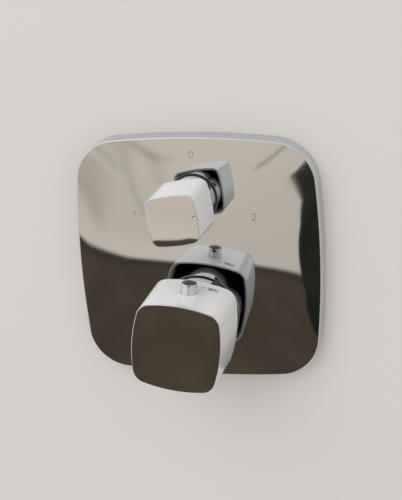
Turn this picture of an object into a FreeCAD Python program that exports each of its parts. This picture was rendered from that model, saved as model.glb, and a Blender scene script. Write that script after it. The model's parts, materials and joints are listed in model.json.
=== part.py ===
"""Concealed thermostatic shower valve with a shut-off and diverter knob.

Millimetres. X is to the right as seen from the room, Y goes into the wall and Z is up.
The origin is the centre of the cover plate's back, which lies on the finished wall, y = 0.
The knobs stand in the room at negative y, and the brass body sits in the wall at positive y.
"""
import FreeCAD, Part
import math
import os
from FreeCAD import Placement, Rotation, Vector

OUT_OF_WALL = Vector(0, -1, 0)
INTO_WALL = Vector(0, 1, 0)
RIGHT = Vector(1, 0, 0)
UP = Vector(0, 0, 1)
MORE = 1.0  # how far a cutting tool runs past the face that it leaves

# Cover plate
plate_half = 77.5
plate_bulge = 544.0
plate_corner = 29.0
plate_corner_draw = 2.6
plate_rim = 11.0
plate_inset = 0.7
plate_crown = 2.5
plate_wall = 1.5
gasket_depth = 2.8
gasket_width = 5.4
gasket_gap = 0.2

# Carrier behind the plate, and the pillars and screws that hold it
carrier_wall = 2.2
carrier_gap = 0.25
carrier_clear = 1.0
carrier_boss_r = 5.0
carrier_boss_edge = 25.5
carrier_boss_at = plate_half - carrier_boss_edge
pillar_r = 5.0
pillar_x = 30.0
pillar_edge = 15.5
pillar_z = plate_half - pillar_edge
pillar_stud_r = 2.5
pillar_stud = 8.0
screw_r = 2.0
screw_length = 11.0
screw_head_r = 4.0
screw_head = 2.2

# Where the two knobs turn, and how far each stands from upright in its rest pose
thermo_z = -34.8
diverter_z = 39.8
thermo_turn = -7.4
diverter_turn = 8.3

# Thermostat knob: a white shell round a black core, with a metal face that covers its front
thermo_front = -70.0
thermo_rear = -29.2
thermo_front_half = 26.8
thermo_flare = 0.8
thermo_rear_half = thermo_front_half + thermo_flare
thermo_bulge = 88.0
thermo_corner = 8.6
thermo_edge = 0.2
thermo_border = 1.7
thermo_face_half = thermo_front_half - thermo_border
thermo_window_edge = 7.8
thermo_window_r = thermo_front_half - thermo_window_edge
thermo_hub_r = 9.0

# Diverter knob, made the same way
diverter_front = -60.9
diverter_rear = -27.6
diverter_front_half = 15.0
diverter_flare = 0.45
diverter_rear_half = diverter_front_half + diverter_flare
diverter_bulge = 82.0
diverter_corner = 4.8
diverter_edge = 0.2
diverter_border = 1.5
diverter_face_half = diverter_front_half - diverter_border
diverter_window_edge = 5.0
diverter_window_r = diverter_front_half - diverter_window_edge
diverter_hub_r = 7.5

# What both knobs share
shell_wall = 1.9
face_wall = 2.0
face_lid = 0.95
face_lid_gap = 0.1
face_gap = 0.15
face_edge = 0.75
shell_thin = 0.9
shell_thin_length = 3.5
front_wall = 1.6
core_wall = 0.7
core_gap = 0.1
core_short = 4.0
core_front = 2.5
peg_r = 1.5
peg_share = 0.62
spline_gap = 0.1
hub_floor = 6.0
knob_screw_r = 2.0
knob_screw_head_r = 3.6
knob_screw_head = 2.0
knob_screw_reach = 9.0
knob_screw_socket_r = 1.5

# Safety button in the top of the thermostat knob
button_y = -47.4
button_base_r = 4.85
button_top_r = 4.6
button_height = 5.6
button_dome = 0.8
button_skirt = 6.0
button_gap = 0.1
button_travel = 3.0
button_pocket_r = 2.8
button_pocket = 7.0
catch_width = 4.0
catch_depth = 3.0
hub_clear = 2.2
guide_wall = 1.6
guide_floor = 2.0
guide_spare = 0.5
button_spring_r = 2.0
button_wire_r = 0.35
button_coils = 6

# Sleeves between the plate and the knobs
thermo_sleeve_inside = 2.6
thermo_hole_r = thermo_rear_half - thermo_sleeve_inside
diverter_sleeve_inside = 0.5
diverter_hole_r = diverter_rear_half - diverter_sleeve_inside
sleeve_gap = 0.7
sleeve_wall = 1.2
sleeve_end = -5.0
diverter_sleeve_front = -27.1
diverter_nose_r = 12.5
diverter_nose = 6.0
seal_gap = 0.05
seal_length = 4.2
seal_sunk = 0.3
holder_front = -21.0
holder_length = 10.0

# Thermostat headpiece and its spindle
thermo_neck_r = 14.5
thermo_neck_front = -36.0
stop_ring_wall = 2.5
stop_ring_gap = 0.4
stop_ring_r = thermo_hole_r - sleeve_gap - sleeve_wall - stop_ring_gap
stop_tooth = 2.4
stop_tooth_depth = 2.7
stop_tooth_width = 5.0
stop_gap = 0.3
spindle_r = 6.0
spline_step = 0.5
spindle_thread_r = 6.5
spindle_flange_r = 9.5
spindle_flange = 3.0
spindle_thread = 13.0
chamber_r = 11.5
chamber_front = -16.2

# Adjusting nut with its overload spring. Turning the knob moves it out and in.
nut_room_out = 4.1
nut_room_in = 4.0
nut_front = chamber_front + spindle_flange + nut_room_out
nut_length = 28.0
chamber_end = nut_front + nut_length + nut_room_in
nut_bore = 15.0
nut_cavity_r = 9.0
key_width = 4.0
key_height = 1.5
key_length = 20.0
overload_r = 7.3
overload_wire_r = 0.8
overload_coils = 4
plunger_wall = 2.2
plunger_nub_r = 2.5
plunger_nub = 2.2
clip_width = 1.0
clip_reach = 0.6

# Regulator: wax element, piston and return spring in a plastic housing
port_y = 40.0
thermo_bore_r = 20.0
regulator_gap = 0.1
regulator_r = thermo_bore_r - regulator_gap
regulator_wall = 3.0
regulator_side = 3.95
piston_r = regulator_r - regulator_side
seat_ledge = 2.95
wet_chamber_r = piston_r - seat_ledge
tail_wall = 4.9
tail_r = regulator_r - tail_wall
piston_wall = 2.5
piston_length = 10.0
piston_front = port_y - piston_length / 2
regulator_tail = 7.0
regulator_end = piston_front + piston_length + regulator_tail
piston_web = 2.0
flow_hole_r = 2.3
flow_hole_at = 10.0
flow_hole_count = 6
seat_gap = 0.55
slot_width = 6.0
slot_length = 2.1
slot_count = 8
groove_depth = 1.7
wax_r = 4.5
wax_nose_r = 3.0
wax_gap = 2.0
wax_flange_r = 6.5
wax_flange = 2.2
pin_r = 1.5
pin_length = 16.0
pin_spare = 5.0
return_r = 8.0
return_wire_r = 0.9
return_coils = 5
basket_step = 1.2
basket_r = wet_chamber_r - basket_step
basket_length = 6.5
basket_end = regulator_end + basket_length
basket_wall = 1.2
wax_end_gap = 1.3
wax_end = basket_end - basket_wall - wax_end_gap
basket_window_count = 6
screen_wall = 0.5
screen_width = 3.6
screen_hole_r = 0.9
screen_hole_count = 24

# Diverter headpiece, spindle and ceramic discs
diverter_neck_r = 9.0
diverter_neck_front = -33.0
diverter_bore_r = 14.0
diverter_barrel_gap = 0.1
diverter_barrel_r = diverter_bore_r - diverter_barrel_gap
diverter_flange = 2.0
diverter_spindle_r = 5.0
diverter_collar_r = 8.0
diverter_collar = 3.0
diverter_collar_y = 14.0
disc_chamber_wall = 2.1
disc_chamber_r = diverter_barrel_r - disc_chamber_wall
disc_chamber_front = 20.0
tang_width = 6.0
tang_length = 4.5
driver_wall = 5.0
driver_pin_r = 1.2
driver_pin = 1.8
driver_pin_edge = 3.0
disc_gap = 0.2
disc_r = disc_chamber_r - disc_gap
disc_wall = 4.0
disc_film = 0.02
port_r = 3.2
port_at = 8.0

# Fits and rings
running = 0.05
o_ring_r = 1.0

# Brass body in the wall
boss_face = 4.0
flange_face = 14.0
flange_wall = 8.0
flange_edge = 8.0
flange_half_x = pillar_x + flange_edge
flange_half_z = pillar_z + flange_edge
flange_corner = 8.0
thermo_seat = 12.0
thermo_seat_wall = 3.0
thermo_step = 2.0
thermo_thread_r = thermo_bore_r + thermo_step
thermo_barrel_wall = 5.0
thermo_barrel_r = thermo_thread_r + thermo_barrel_wall
diverter_seat = 10.0
diverter_step = 1.5
diverter_thread_r = diverter_bore_r + diverter_step
diverter_floor = 40.0
diverter_body_wall = 4.5
diverter_body_r = diverter_thread_r + diverter_body_wall
diverter_body_floor = 10.0
diverter_body_back = diverter_floor + diverter_body_floor
thermo_nut_flats = 39.0
diverter_nut_flats = 26.0
nut_head = 7.0
port_boss_r = 13.0
outlet_end = 84.0
thread_r = 9.315
thread_length = 14.0
relief_r = 8.0
relief_length = 7.0
check_bore_r = 8.5
check_floor_wall = 4.0
feed_r = 3.0
feed_offset = 4.5
mixed_gap = 1.5
mixed_y = basket_end + mixed_gap
mixed_r = 4.0
mixed_floor = 4.0
body_back = mixed_y + mixed_r + mixed_floor
riser_x = 31.0
riser_y = 55.0
runner_wall = 3.3
plug_length = 5.0
lug_x = 46.0
lug_z = 52.0
lug_r = 7.0
lug_hole_r = 3.25
lug_wall = 6.0
lug_bridge_r = 12.0

# Check valves and strainers in the inlets
check_length = 19.1
check_gap = 0.1
check_wall = 1.6
check_seat = 2.5
check_seat_r = 4.6
poppet_clear = 0.4
poppet_head = 2.1
poppet_gap = 0.3
poppet_stem_r = 1.2
poppet_travel = 3.5
spider_wall = 2.2
check_spring_r = 3.0
check_wire_r = 0.3
check_coils = 5
strainer_length = 4.3
strainer_mesh = 0.8
strainer_hole_r = 0.8
strainer_pitch = 2.6
strainer_rows = 2
check_spare = 0.4
check_bore = strainer_length + 2 * check_gap + check_length + check_spare
inlet_end = thermo_bore_r + check_floor_wall + check_bore + thread_length


def disc(y0, y1, r, x=0.0, z=0.0):
    """A round bar along Y from y0 to y1."""
    return Part.makeCylinder(r, y1 - y0, Vector(x, y0, z), INTO_WALL)


def ring(y0, y1, r_out, r_in, x=0.0, z=0.0):
    """A tube along Y."""
    return disc(y0, y1, r_out, x, z).cut(disc(y0 - MORE, y1 + MORE, r_in, x, z))


def rod(start, end, r):
    """A round bar between two points."""
    along = end - start
    return Part.makeCylinder(r, along.Length, start, along)


def block(x0, x1, y0, y1, z0, z1):
    return Part.makeBox(x1 - x0, y1 - y0, z1 - z0, Vector(x0, y0, z0))


def fuse(shapes):
    joined = shapes[0]
    for shape in shapes[1:]:
        joined = joined.fuse(shape)
    return joined.removeSplitter()


def cut(shape, tools):
    for tool in tools:
        shape = shape.cut(tool)
    return shape


def outline(y, half, bulge, corner):
    """A square with bowed sides and round corners, drawn about the Y axis: eight tangent arcs."""
    back = bulge - half
    centre = (math.sqrt(2 * (bulge - corner) ** 2 - back ** 2) - back) / 2
    lean = math.atan2(centre, centre + back)
    side_x = bulge * math.sin(lean)
    side_z = bulge * math.cos(lean) - back
    tip = centre + corner * math.sqrt(0.5)
    edges = []
    for quarter in range(4):
        turned = Rotation(INTO_WALL, 90 * quarter)
        points = [(-side_x, side_z), (0, half), (side_x, side_z), (tip, tip), (side_z, side_x)]
        a, b, c, d, e = [turned.multVec(Vector(x, y, z)) for x, z in points]
        edges += [Part.Arc(a, b, c).toShape(), Part.Arc(c, d, e).toShape()]
    return Part.Wire(edges)


def bowed_block(y0, half0, y1, half1, bulge, corner, draw=0.0):
    """A solid between two such outlines. The first has its corners tighter by draw."""
    ends = [outline(y0, half0, bulge, corner - draw), outline(y1, half1, bulge, corner)]
    return Part.makeLoft(ends, True, True)


def hexagon(y0, y1, flats, r_in):
    corners = []
    for k in range(7):
        angle = math.radians(60 * k)
        reach = flats / math.sqrt(3)
        corners.append(Vector(reach * math.cos(angle), y0, reach * math.sin(angle)))
    prism = Part.Face(Part.makePolygon(corners)).extrude(INTO_WALL * (y1 - y0))
    return prism.cut(disc(y0 - MORE, y1 + MORE, r_in))


def spread(shape, count):
    """Copies of a shape evenly round the Y axis."""
    copies = []
    for k in range(count):
        copy = shape.copy()
        copy.rotate(Vector(), INTO_WALL, 360.0 * k / count)
        copies.append(copy)
    return copies


def o_ring(y, r_in):
    """A rubber ring about the Y axis that lies on a shaft or groove of radius r_in."""
    return Part.makeTorus(r_in + o_ring_r, o_ring_r, Vector(0, y, 0), INTO_WALL)


def groove(y, r_in, r_out):
    return ring(y - o_ring_r, y + o_ring_r, r_out, r_in)


def half_biarc(start, apex, end):
    """The arc from start to end whose tangents there meet at apex."""
    chord = (end - start).Length / 2
    middle = (start + end) / 2
    rise = apex - middle
    sagitta = chord * math.tan(math.atan2(rise.Length, chord) / 2)
    return Part.Arc(start, middle + rise.normalize() * sagitta, end).toShape()


def coil(r, wire_r, coils, length):
    """A helical spring along +Z from z = 0 to length, as biarcs of a quarter turn."""
    rise = (length - 2 * wire_r) / (2 * math.pi * coils)

    def point(angle):
        return Vector(r * math.cos(angle), r * math.sin(angle), wire_r + rise * angle)

    def heading(angle):
        return Vector(-r * math.sin(angle), r * math.cos(angle), rise).normalize()

    edges = []
    for quarter in range(4 * coils):
        a, b = quarter * math.pi / 2, (quarter + 1) * math.pi / 2
        start, end, first, last = point(a), point(b), heading(a), heading(b)
        span = end - start
        both = span.dot(first + last)
        bend = 2 * (1 - first.dot(last))
        reach = (math.sqrt(both ** 2 + bend * span.dot(span)) - both) / bend
        near, far = start + first * reach, end - last * reach
        joint = (near + far) / 2
        edges += [half_biarc(start, near, joint), half_biarc(joint, far, end)]
    profile = Part.Wire([Part.makeCircle(wire_r, point(0), heading(0))])
    return Part.Wire(edges).makePipeShell([profile], True, False)


def spring(start, end, r, wire_r, coils):
    """A coil between two points."""
    along = end - start
    shape = coil(r, wire_r, coils, along.Length)
    shape.Placement = Placement(start, Rotation(UP, along))
    return shape


def on_thermo(shape, turned=False):
    """Moves a shape drawn about the origin to the thermostat's axis, at the knob's angle if it turns."""
    if turned:
        shape.rotate(Vector(), OUT_OF_WALL, thermo_turn)
    shape.translate(UP * thermo_z)
    return shape


def on_diverter(shape, turned=False):
    if turned:
        shape.rotate(Vector(), OUT_OF_WALL, diverter_turn)
    shape.translate(UP * diverter_z)
    return shape


def save(node, shapes):
    shape = shapes[0] if len(shapes) == 1 else Part.makeCompound(shapes)
    shape.exportStep(f"parts/{node}.step")


# --- Cover plate, its gasket and what carries it ---


def crown_over(rim):
    """Everything in front of a pillow-shaped face that is rim out from the wall at its edge."""
    reach = plate_half + MORE
    face = Part.BezierSurface()
    face.increase(2, 2)
    for i in range(3):
        for j in range(3):
            lift = 4 * plate_crown if i == 1 and j == 1 else 0
            face.setPole(i + 1, j + 1, Vector((i - 1) * reach, -rim - lift, (j - 1) * reach))
    return face.toShape().extrude(OUT_OF_WALL * (plate_rim + 4 * plate_crown))


def crown_y(rim, x, z):
    """The same face's y at a place on the plate."""
    reach = plate_half + MORE
    return -rim - plate_crown * (1 - (x / reach) ** 2) * (1 - (z / reach) ** 2)


def plate_block(rim, wall, back):
    """The plate's outer form, drawn in by a wall's thickness and ending at y = back."""
    front = -plate_rim - 2 * plate_crown
    slope = plate_inset / plate_rim
    near, far = plate_half + slope * front - wall, plate_half - slope * -back - wall
    draw = plate_corner_draw * (back - front) / plate_rim
    tall = bowed_block(front, near, back, far, plate_bulge - wall, plate_corner - wall, draw)
    return tall.cut(crown_over(rim))


def plate_hole_y(z):
    """The y of the plate's front where a knob comes through."""
    return crown_y(plate_rim, 0, z)


def make_plate():
    shell = plate_block(plate_rim, 0, 0).cut(plate_block(plate_rim - plate_wall, plate_wall, MORE))
    for z, r in ((thermo_z, thermo_hole_r), (diverter_z, diverter_hole_r)):
        front = plate_hole_y(z)
        collar = disc(front + plate_wall / 2, front + seal_sunk + seal_length, r + plate_wall, 0, z)
        shell = shell.fuse(collar).cut(disc(front - MORE, MORE, r, 0, z))
    save("cover_plate", [shell.removeSplitter()])

    half = plate_half - plate_wall - plate_inset * gasket_depth / plate_rim - gasket_gap
    outer = bowed_block(-gasket_depth, half, 0, half, plate_bulge, plate_corner - plate_wall)
    inner_half = half - gasket_width
    inner = bowed_block(-gasket_depth - MORE, inner_half, MORE, inner_half, plate_bulge,
                        plate_corner - gasket_width)
    save("wall_gasket", [outer.cut(inner)])


def pillar_places():
    return [(x, z) for x in (-pillar_x, pillar_x) for z in (-pillar_z, pillar_z)]


def make_carrier():
    back = -gasket_depth
    front = back - carrier_wall
    half = plate_half - plate_wall + plate_inset * front / plate_rim - carrier_gap
    plate = bowed_block(front, half, back, half, plate_bulge, plate_corner - plate_wall)
    inner_rim = plate_rim - plate_wall
    bosses = []
    # The corner of each boss that is farthest out meets the crown where it lies nearest the wall.
    far = carrier_boss_at + carrier_boss_r
    boss_front = crown_y(inner_rim, far, far) + carrier_gap
    for x in (-carrier_boss_at, carrier_boss_at):
        for z in (-carrier_boss_at, carrier_boss_at):
            bosses.append(disc(boss_front, front + carrier_wall / 2, carrier_boss_r, x, z))
    holes = [disc(front - MORE, back + MORE, r + plate_wall + carrier_clear, 0, z)
             for z, r in ((thermo_z, thermo_hole_r), (diverter_z, diverter_hole_r))]
    holes += [disc(front - MORE, back + MORE, screw_r + running, x, z) for x, z in pillar_places()]
    save("plate_carrier", [cut(fuse([plate] + bosses), holes)])

    pillars, screws = [], []
    for x, z in pillar_places():
        body = disc(back, flange_face, pillar_r, x, z)
        stud = disc(flange_face, flange_face + pillar_stud, pillar_stud_r, x, z)
        tapped = disc(back - MORE, front + screw_length + MORE, screw_r + running, x, z)
        pillars.append(body.fuse(stud).cut(tapped))
        head = disc(front - screw_head, front, screw_head_r, x, z)
        slot = block(x - screw_head_r, x + screw_head_r, front - screw_head, front - screw_head / 2,
                     z - screw_head / 4, z + screw_head / 4)
        screws.append(head.fuse(disc(front, front + screw_length, screw_r, x, z)).cut(slot))
    save("carrier_pillars", pillars)
    save("carrier_screws", screws)


# --- Sleeves and their seals ---


def sleeve_seal(z, r):
    front = plate_hole_y(z) + seal_sunk
    return ring(front, front + seal_length, r - seal_gap, r - sleeve_gap + seal_gap)


def make_sleeves():
    thermo_r = thermo_hole_r - sleeve_gap
    inner = thermo_r - sleeve_wall
    save("thermostat_sleeve", [on_thermo(ring(tooth_front() + stop_gap, sleeve_end, thermo_r, inner))])
    holder = ring(holder_front, holder_front + holder_length, inner - seal_gap, thermo_neck_r + seal_gap)
    save("thermostat_sleeve_holder", [on_thermo(holder)])
    save("thermostat_sleeve_seal", [on_thermo(sleeve_seal(thermo_z, thermo_hole_r))])

    diverter_r = diverter_hole_r - sleeve_gap
    inner = diverter_r - sleeve_wall
    nose_front = diverter_sleeve_front - diverter_nose
    nose = disc(nose_front, diverter_sleeve_front + sleeve_wall, diverter_nose_r)
    wide = disc(diverter_sleeve_front, sleeve_end, diverter_r)
    bores = [disc(nose_front - MORE, sleeve_end, diverter_nose_r - sleeve_wall),
             disc(diverter_sleeve_front + sleeve_wall, sleeve_end + MORE, inner)]
    save("diverter_sleeve", [on_diverter(cut(nose.fuse(wide), bores))])
    holder = ring(holder_front, holder_front + holder_length, inner - seal_gap, diverter_neck_r + seal_gap)
    save("diverter_sleeve_holder", [on_diverter(holder)])
    save("diverter_sleeve_seal", [on_diverter(sleeve_seal(diverter_z, diverter_hole_r))])


# --- Knobs, drawn upright about the origin ---


class Knob:
    """The sizes of one knob that its pieces share."""

    def __init__(self, front, rear, front_half, rear_half, bulge, corner, face_half):
        self.rear, self.bulge, self.corner = rear, bulge, corner
        self.front_half, self.rear_half = front_half, rear_half
        self.face_half = face_half
        self.face_front = front
        self.front = front + face_lid + face_lid_gap
        self.face_back = front + face_wall
        self.wall_back = self.face_back + front_wall
        self.core_face = self.wall_back + core_gap
        self.hub_front = self.core_face + core_front
        self.seat = self.hub_front + hub_floor

    def half_at(self, y):
        share = (y - self.front) / (self.rear - self.front)
        return self.front_half + share * (self.rear_half - self.front_half)

    def body(self, y0, y1, inset):
        corner = max(self.corner - inset, self.corner / 4)
        return bowed_block(y0, self.half_at(y0) - inset, y1, self.half_at(y1) - inset, self.bulge, corner)


def rim_edges(shape, y):
    """The edges of a shape that lie in the plane at y."""
    return [edge for edge in shape.Edges
            if abs(edge.BoundBox.YMin - y) < 1e-4 and abs(edge.BoundBox.YMax - y) < 1e-4]


def knob_shell(knob, edge_r, window_r):
    outer = knob.body(knob.front, knob.rear, 0)
    outer = outer.makeFillet(edge_r, rim_edges(outer, knob.front))
    recess_half = knob.face_half + face_gap
    corner = max(knob.corner - (knob.front_half - recess_half), knob.corner / 4)
    recess = bowed_block(knob.front - MORE, recess_half, knob.face_back, recess_half, knob.bulge, corner)
    hollow = knob.body(knob.wall_back, knob.rear + MORE, shell_wall)
    corner = knob.corner - shell_wall
    mouth = bowed_block(knob.rear - shell_thin_length, knob.rear_half - shell_wall, knob.rear,
                        knob.rear_half - shell_wall + shell_thin, knob.bulge, corner + shell_thin, shell_thin)
    window = disc(knob.front, knob.rear, window_r)
    pegs = [disc(knob.front, knob.rear, peg_r + core_gap, x, z) for x, z in peg_places(knob)]
    return cut(outer, [recess, hollow, mouth, window] + pegs)


def peg_places(knob):
    at = peg_share * knob.face_half
    return [(x, z) for x in (-at, at) for z in (-at, at)]


def knob_face(knob):
    """A lid as wide as the shell, and the plate behind it that the shell's recess holds."""
    lid_back = knob.face_front + face_lid
    lid = bowed_block(knob.face_front, knob.front_half, lid_back, knob.front_half, knob.bulge, knob.corner)
    lid = lid.makeFillet(face_edge, rim_edges(lid, knob.face_front))
    corner = max(knob.corner - (knob.front_half - knob.face_half), knob.corner / 4)
    middle = knob.face_front + face_lid / 2
    plate = bowed_block(middle, knob.face_half, knob.face_back, knob.face_half, knob.bulge, corner)
    pegs = [disc(knob.face_back - face_wall / 2, knob.hub_front, peg_r, x, z) for x, z in peg_places(knob)]
    return fuse([lid, plate] + pegs)


def knob_core(knob, hub_r, spline_r, hub_rear):
    """The black liner with its hub. The spindle's end fits the hub's bore."""
    inset = shell_wall + core_gap
    liner = knob.body(knob.core_face, knob.rear - core_short, inset)
    liner = liner.cut(knob.body(knob.hub_front, knob.rear, inset + core_wall))
    hub = disc(knob.hub_front - core_front / 2, hub_rear, hub_r)
    holes = [disc(knob.core_face - MORE, hub_rear + MORE, knob_screw_r + running),
             disc(knob.core_face - MORE, knob.hub_front, knob_screw_head_r + core_gap),
             disc(knob.seat, hub_rear + MORE, spline_r + spline_gap)]
    holes += [disc(knob.core_face - MORE, knob.hub_front + MORE, peg_r + core_gap, x, z)
              for x, z in peg_places(knob)]
    return cut(fuse([liner, hub]), holes)


def knob_screw(knob):
    """Its head bears on the hub, and its shank runs into the spindle behind the hub's seat."""
    head = disc(knob.hub_front - knob_screw_head, knob.hub_front, knob_screw_head_r)
    shank = disc(knob.hub_front, knob.seat + knob_screw_reach, knob_screw_r)
    socket = disc(knob.hub_front - knob_screw_head - MORE, knob.hub_front - knob_screw_head / 2,
                  knob_screw_socket_r)
    return fuse([head, shank]).cut(socket)


def thermo_hub_rear():
    return thermo_neck_front - stop_ring_wall - hub_clear


def diverter_hub_rear():
    return diverter_neck_front - MORE


thermo_knob = Knob(thermo_front, thermo_rear, thermo_front_half, thermo_rear_half,
                   thermo_bulge, thermo_corner, thermo_face_half)
diverter_knob = Knob(diverter_front, diverter_rear, diverter_front_half, diverter_rear_half,
                     diverter_bulge, diverter_corner, diverter_face_half)


def button_axis(z0, z1, r):
    """A round bar along the safety button's axis."""
    return Part.makeCylinder(r, z1 - z0, Vector(0, button_y, z0), UP)


def button_levels():
    """The knob's top, the skirt's foot, the spring's roof and the guide's floor, along the button's axis."""
    top = thermo_knob.half_at(button_y)
    foot = top - button_skirt
    roof = foot + button_pocket
    floor = foot - button_travel - guide_spare
    return top, foot, roof, floor


def catch_block(gap, z0, z1, y1):
    """The catch hangs from the skirt's wall side and reaches towards the stop ring."""
    y0 = button_y + button_pocket_r + (button_base_r - button_pocket_r) / 4
    return block(-catch_width / 2 - gap, catch_width / 2 + gap, y0 - gap, y1, z0, z1)


def tooth_front():
    return thermo_neck_front - stop_tooth


def make_button():
    top, foot, roof, floor = button_levels()
    skirt = button_axis(foot, top, button_base_r)
    stem = Part.makeCone(button_base_r, button_top_r, button_height, Vector(0, button_y, top), UP)
    dome_r = (button_top_r ** 2 + button_dome ** 2) / (2 * button_dome)
    crest = top + button_height + button_dome
    dome = Part.makeSphere(dome_r, Vector(0, button_y, crest - dome_r))
    dome = dome.common(button_axis(crest - button_dome, crest + MORE, button_top_r))
    catch = catch_block(0, foot - catch_depth + MORE, foot + MORE, tooth_front() - stop_gap)
    button = fuse([skirt, stem, dome, catch]).cut(button_axis(foot - MORE, roof, button_pocket_r))
    save("safety_button", [on_thermo(button, True)])

    start = Vector(0, button_y, floor)
    shape = spring(start, Vector(0, button_y, roof), button_spring_r, button_wire_r, button_coils)
    save("button_spring", [on_thermo(shape, True)])


def make_thermo_knob():
    knob = thermo_knob
    top, foot, roof, floor = button_levels()
    shell = knob_shell(knob, thermo_edge, thermo_window_r)
    shell = shell.cut(button_axis(floor, top + MORE, button_base_r + 2 * button_gap))
    save("thermostat_knob_shell", [on_thermo(shell, True)])
    save("thermostat_knob_face", [on_thermo(knob_face(knob), True)])

    core = knob_core(knob, thermo_hub_r, spindle_r - spline_step, thermo_hub_rear())
    liner_top = top - shell_wall - core_gap
    guide = button_axis(floor - guide_floor, liner_top, button_base_r + button_gap + guide_wall)
    guide = guide.common(knob.body(knob.core_face, knob.rear - core_short, shell_wall + core_gap))
    room = catch_block(2 * button_gap, floor - guide_floor - MORE, liner_top - core_wall - MORE,
                       thermo_rear)
    core = fuse([core, guide]).cut(button_axis(floor, top, button_base_r + button_gap)).cut(room)
    save("thermostat_knob_core", [on_thermo(core, True)])
    save("thermostat_knob_screw", [on_thermo(knob_screw(knob), True)])


def make_diverter_knob():
    knob = diverter_knob
    save("diverter_knob_shell", [on_diverter(knob_shell(knob, diverter_edge, diverter_window_r), True)])
    save("diverter_knob_face", [on_diverter(knob_face(knob), True)])
    core = knob_core(knob, diverter_hub_r, diverter_spindle_r - spline_step, diverter_hub_rear())
    save("diverter_knob_core", [on_diverter(core, True)])
    save("diverter_knob_screw", [on_diverter(knob_screw(knob), True)])


# --- Thermostat cartridge, drawn about the origin ---


def make_thermo_head():
    """Headpiece, its nut and the stop ring on its nose."""
    neck = disc(thermo_neck_front, thermo_seat, thermo_neck_r)
    flange = disc(thermo_seat - thermo_seat_wall, thermo_seat, thermo_thread_r - 2 * core_gap)
    tail = disc(thermo_seat, chamber_end, tail_r)
    key_r = chamber_r + key_height + core_gap
    keyway = block(-key_r, key_r, chamber_front, chamber_end + MORE,
                   -key_width / 2 - core_gap, key_width / 2 + core_gap)
    hollow = [disc(thermo_neck_front - MORE, chamber_front + MORE, spindle_r + running),
              disc(chamber_front, chamber_end + MORE, chamber_r),
              keyway.common(disc(chamber_front, chamber_end + MORE, key_r))]
    head = cut(fuse([neck, flange, tail]), hollow)
    save("thermostat_headpiece", [on_thermo(head)])

    thread_back = thermo_seat - thermo_seat_wall
    nut = fuse([hexagon(boss_face - nut_head, boss_face, thermo_nut_flats, thermo_neck_r + core_gap),
                ring(boss_face, thread_back, thermo_thread_r - core_gap, thermo_neck_r + core_gap)])
    save("thermostat_nut", [on_thermo(nut)])

    base = ring(thermo_neck_front - stop_ring_wall / 2, thermo_neck_front + stop_ring_wall,
                stop_ring_r, thermo_neck_r + core_gap / 2)
    tooth = ring(tooth_front(), thermo_neck_front, stop_ring_r, stop_ring_r - stop_tooth_depth)
    tooth = tooth.common(block(-stop_tooth_width / 2, stop_tooth_width / 2, tooth_front() - MORE,
                               thermo_neck_front, 0, stop_ring_r))
    apart = (catch_width + stop_tooth_width) / 2 + stop_gap
    tooth.rotate(Vector(), OUT_OF_WALL, thermo_turn + math.degrees(apart / stop_ring_r))
    save("temperature_stop_ring", [on_thermo(fuse([base, tooth]))])


def make_thermo_spindle():
    tip = thermo_knob.seat + spline_gap
    spline = disc(tip, thermo_neck_front - MORE, spindle_r - spline_step)
    flange_front = chamber_front + core_gap
    flange_back = flange_front + spindle_flange
    journal = disc(thermo_neck_front - MORE, flange_front, spindle_r)
    flange = disc(flange_front, flange_back, spindle_flange_r)
    thread = disc(flange_back, flange_back + spindle_thread, spindle_thread_r)
    tapped = disc(tip - MORE, tip + knob_screw_reach + MORE, knob_screw_r + running)
    seal_y = (thermo_neck_front + chamber_front) / 2
    neck_r = spindle_r - 2 * o_ring_r + running
    seat = ring(seal_y - o_ring_r, seal_y + o_ring_r, spindle_r + MORE, neck_r)
    spindle = cut(fuse([spline, journal, flange, thread]), [tapped, seat])
    save("thermostat_spindle", [on_thermo(spindle, True)])
    save("thermostat_spindle_seal", [on_thermo(o_ring(seal_y, neck_r), True)])


def make_adjusting_nut():
    rear = nut_front + nut_length
    cavity = nut_front + nut_bore
    body = disc(nut_front, rear, chamber_r - 2 * running)
    key_r = chamber_r + key_height
    keys = block(-key_r, key_r, cavity - key_length / 2, cavity + key_length / 2,
                 -key_width / 2, key_width / 2).common(disc(nut_front, rear, key_r))
    clip_back = rear - clip_width
    clip_front = clip_back - clip_width
    clip_r = nut_cavity_r + clip_reach
    hollow = [disc(nut_front - MORE, cavity + MORE, spindle_thread_r + running),
              disc(cavity, rear + MORE, nut_cavity_r),
              disc(clip_front, clip_back, clip_r)]
    save("adjusting_nut", [on_thermo(cut(fuse([body, keys]), hollow))])

    clip = ring(clip_front, clip_back, clip_r, nut_cavity_r - 2 * clip_reach)
    clip = clip.cut(block(-clip_width, clip_width, clip_front - MORE, clip_back + MORE, 0, clip_r + MORE))
    save("overload_clip", [on_thermo(clip)])
    plunger_front = clip_front - plunger_wall
    plate = disc(plunger_front, clip_front, nut_cavity_r - running)
    nub_end = clip_front + plunger_nub
    nub = disc(clip_front, nub_end, plunger_nub_r)
    save("overload_plunger", [on_thermo(fuse([plate, nub]))])
    shape = spring(Vector(0, cavity, 0), Vector(0, plunger_front, 0), overload_r, overload_wire_r,
                   overload_coils)
    save("overload_spring", [on_thermo(shape)])
    save("wax_pin", [on_thermo(disc(nub_end, nub_end + pin_length, pin_r))])
    return nub_end


def window_row(y0, y1):
    """Cutters for the slots that let water through the regulator's wall."""
    slot = block(wet_chamber_r, regulator_r + MORE, y0, y1, -slot_width / 2, slot_width / 2)
    return spread(slot, slot_count)


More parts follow.
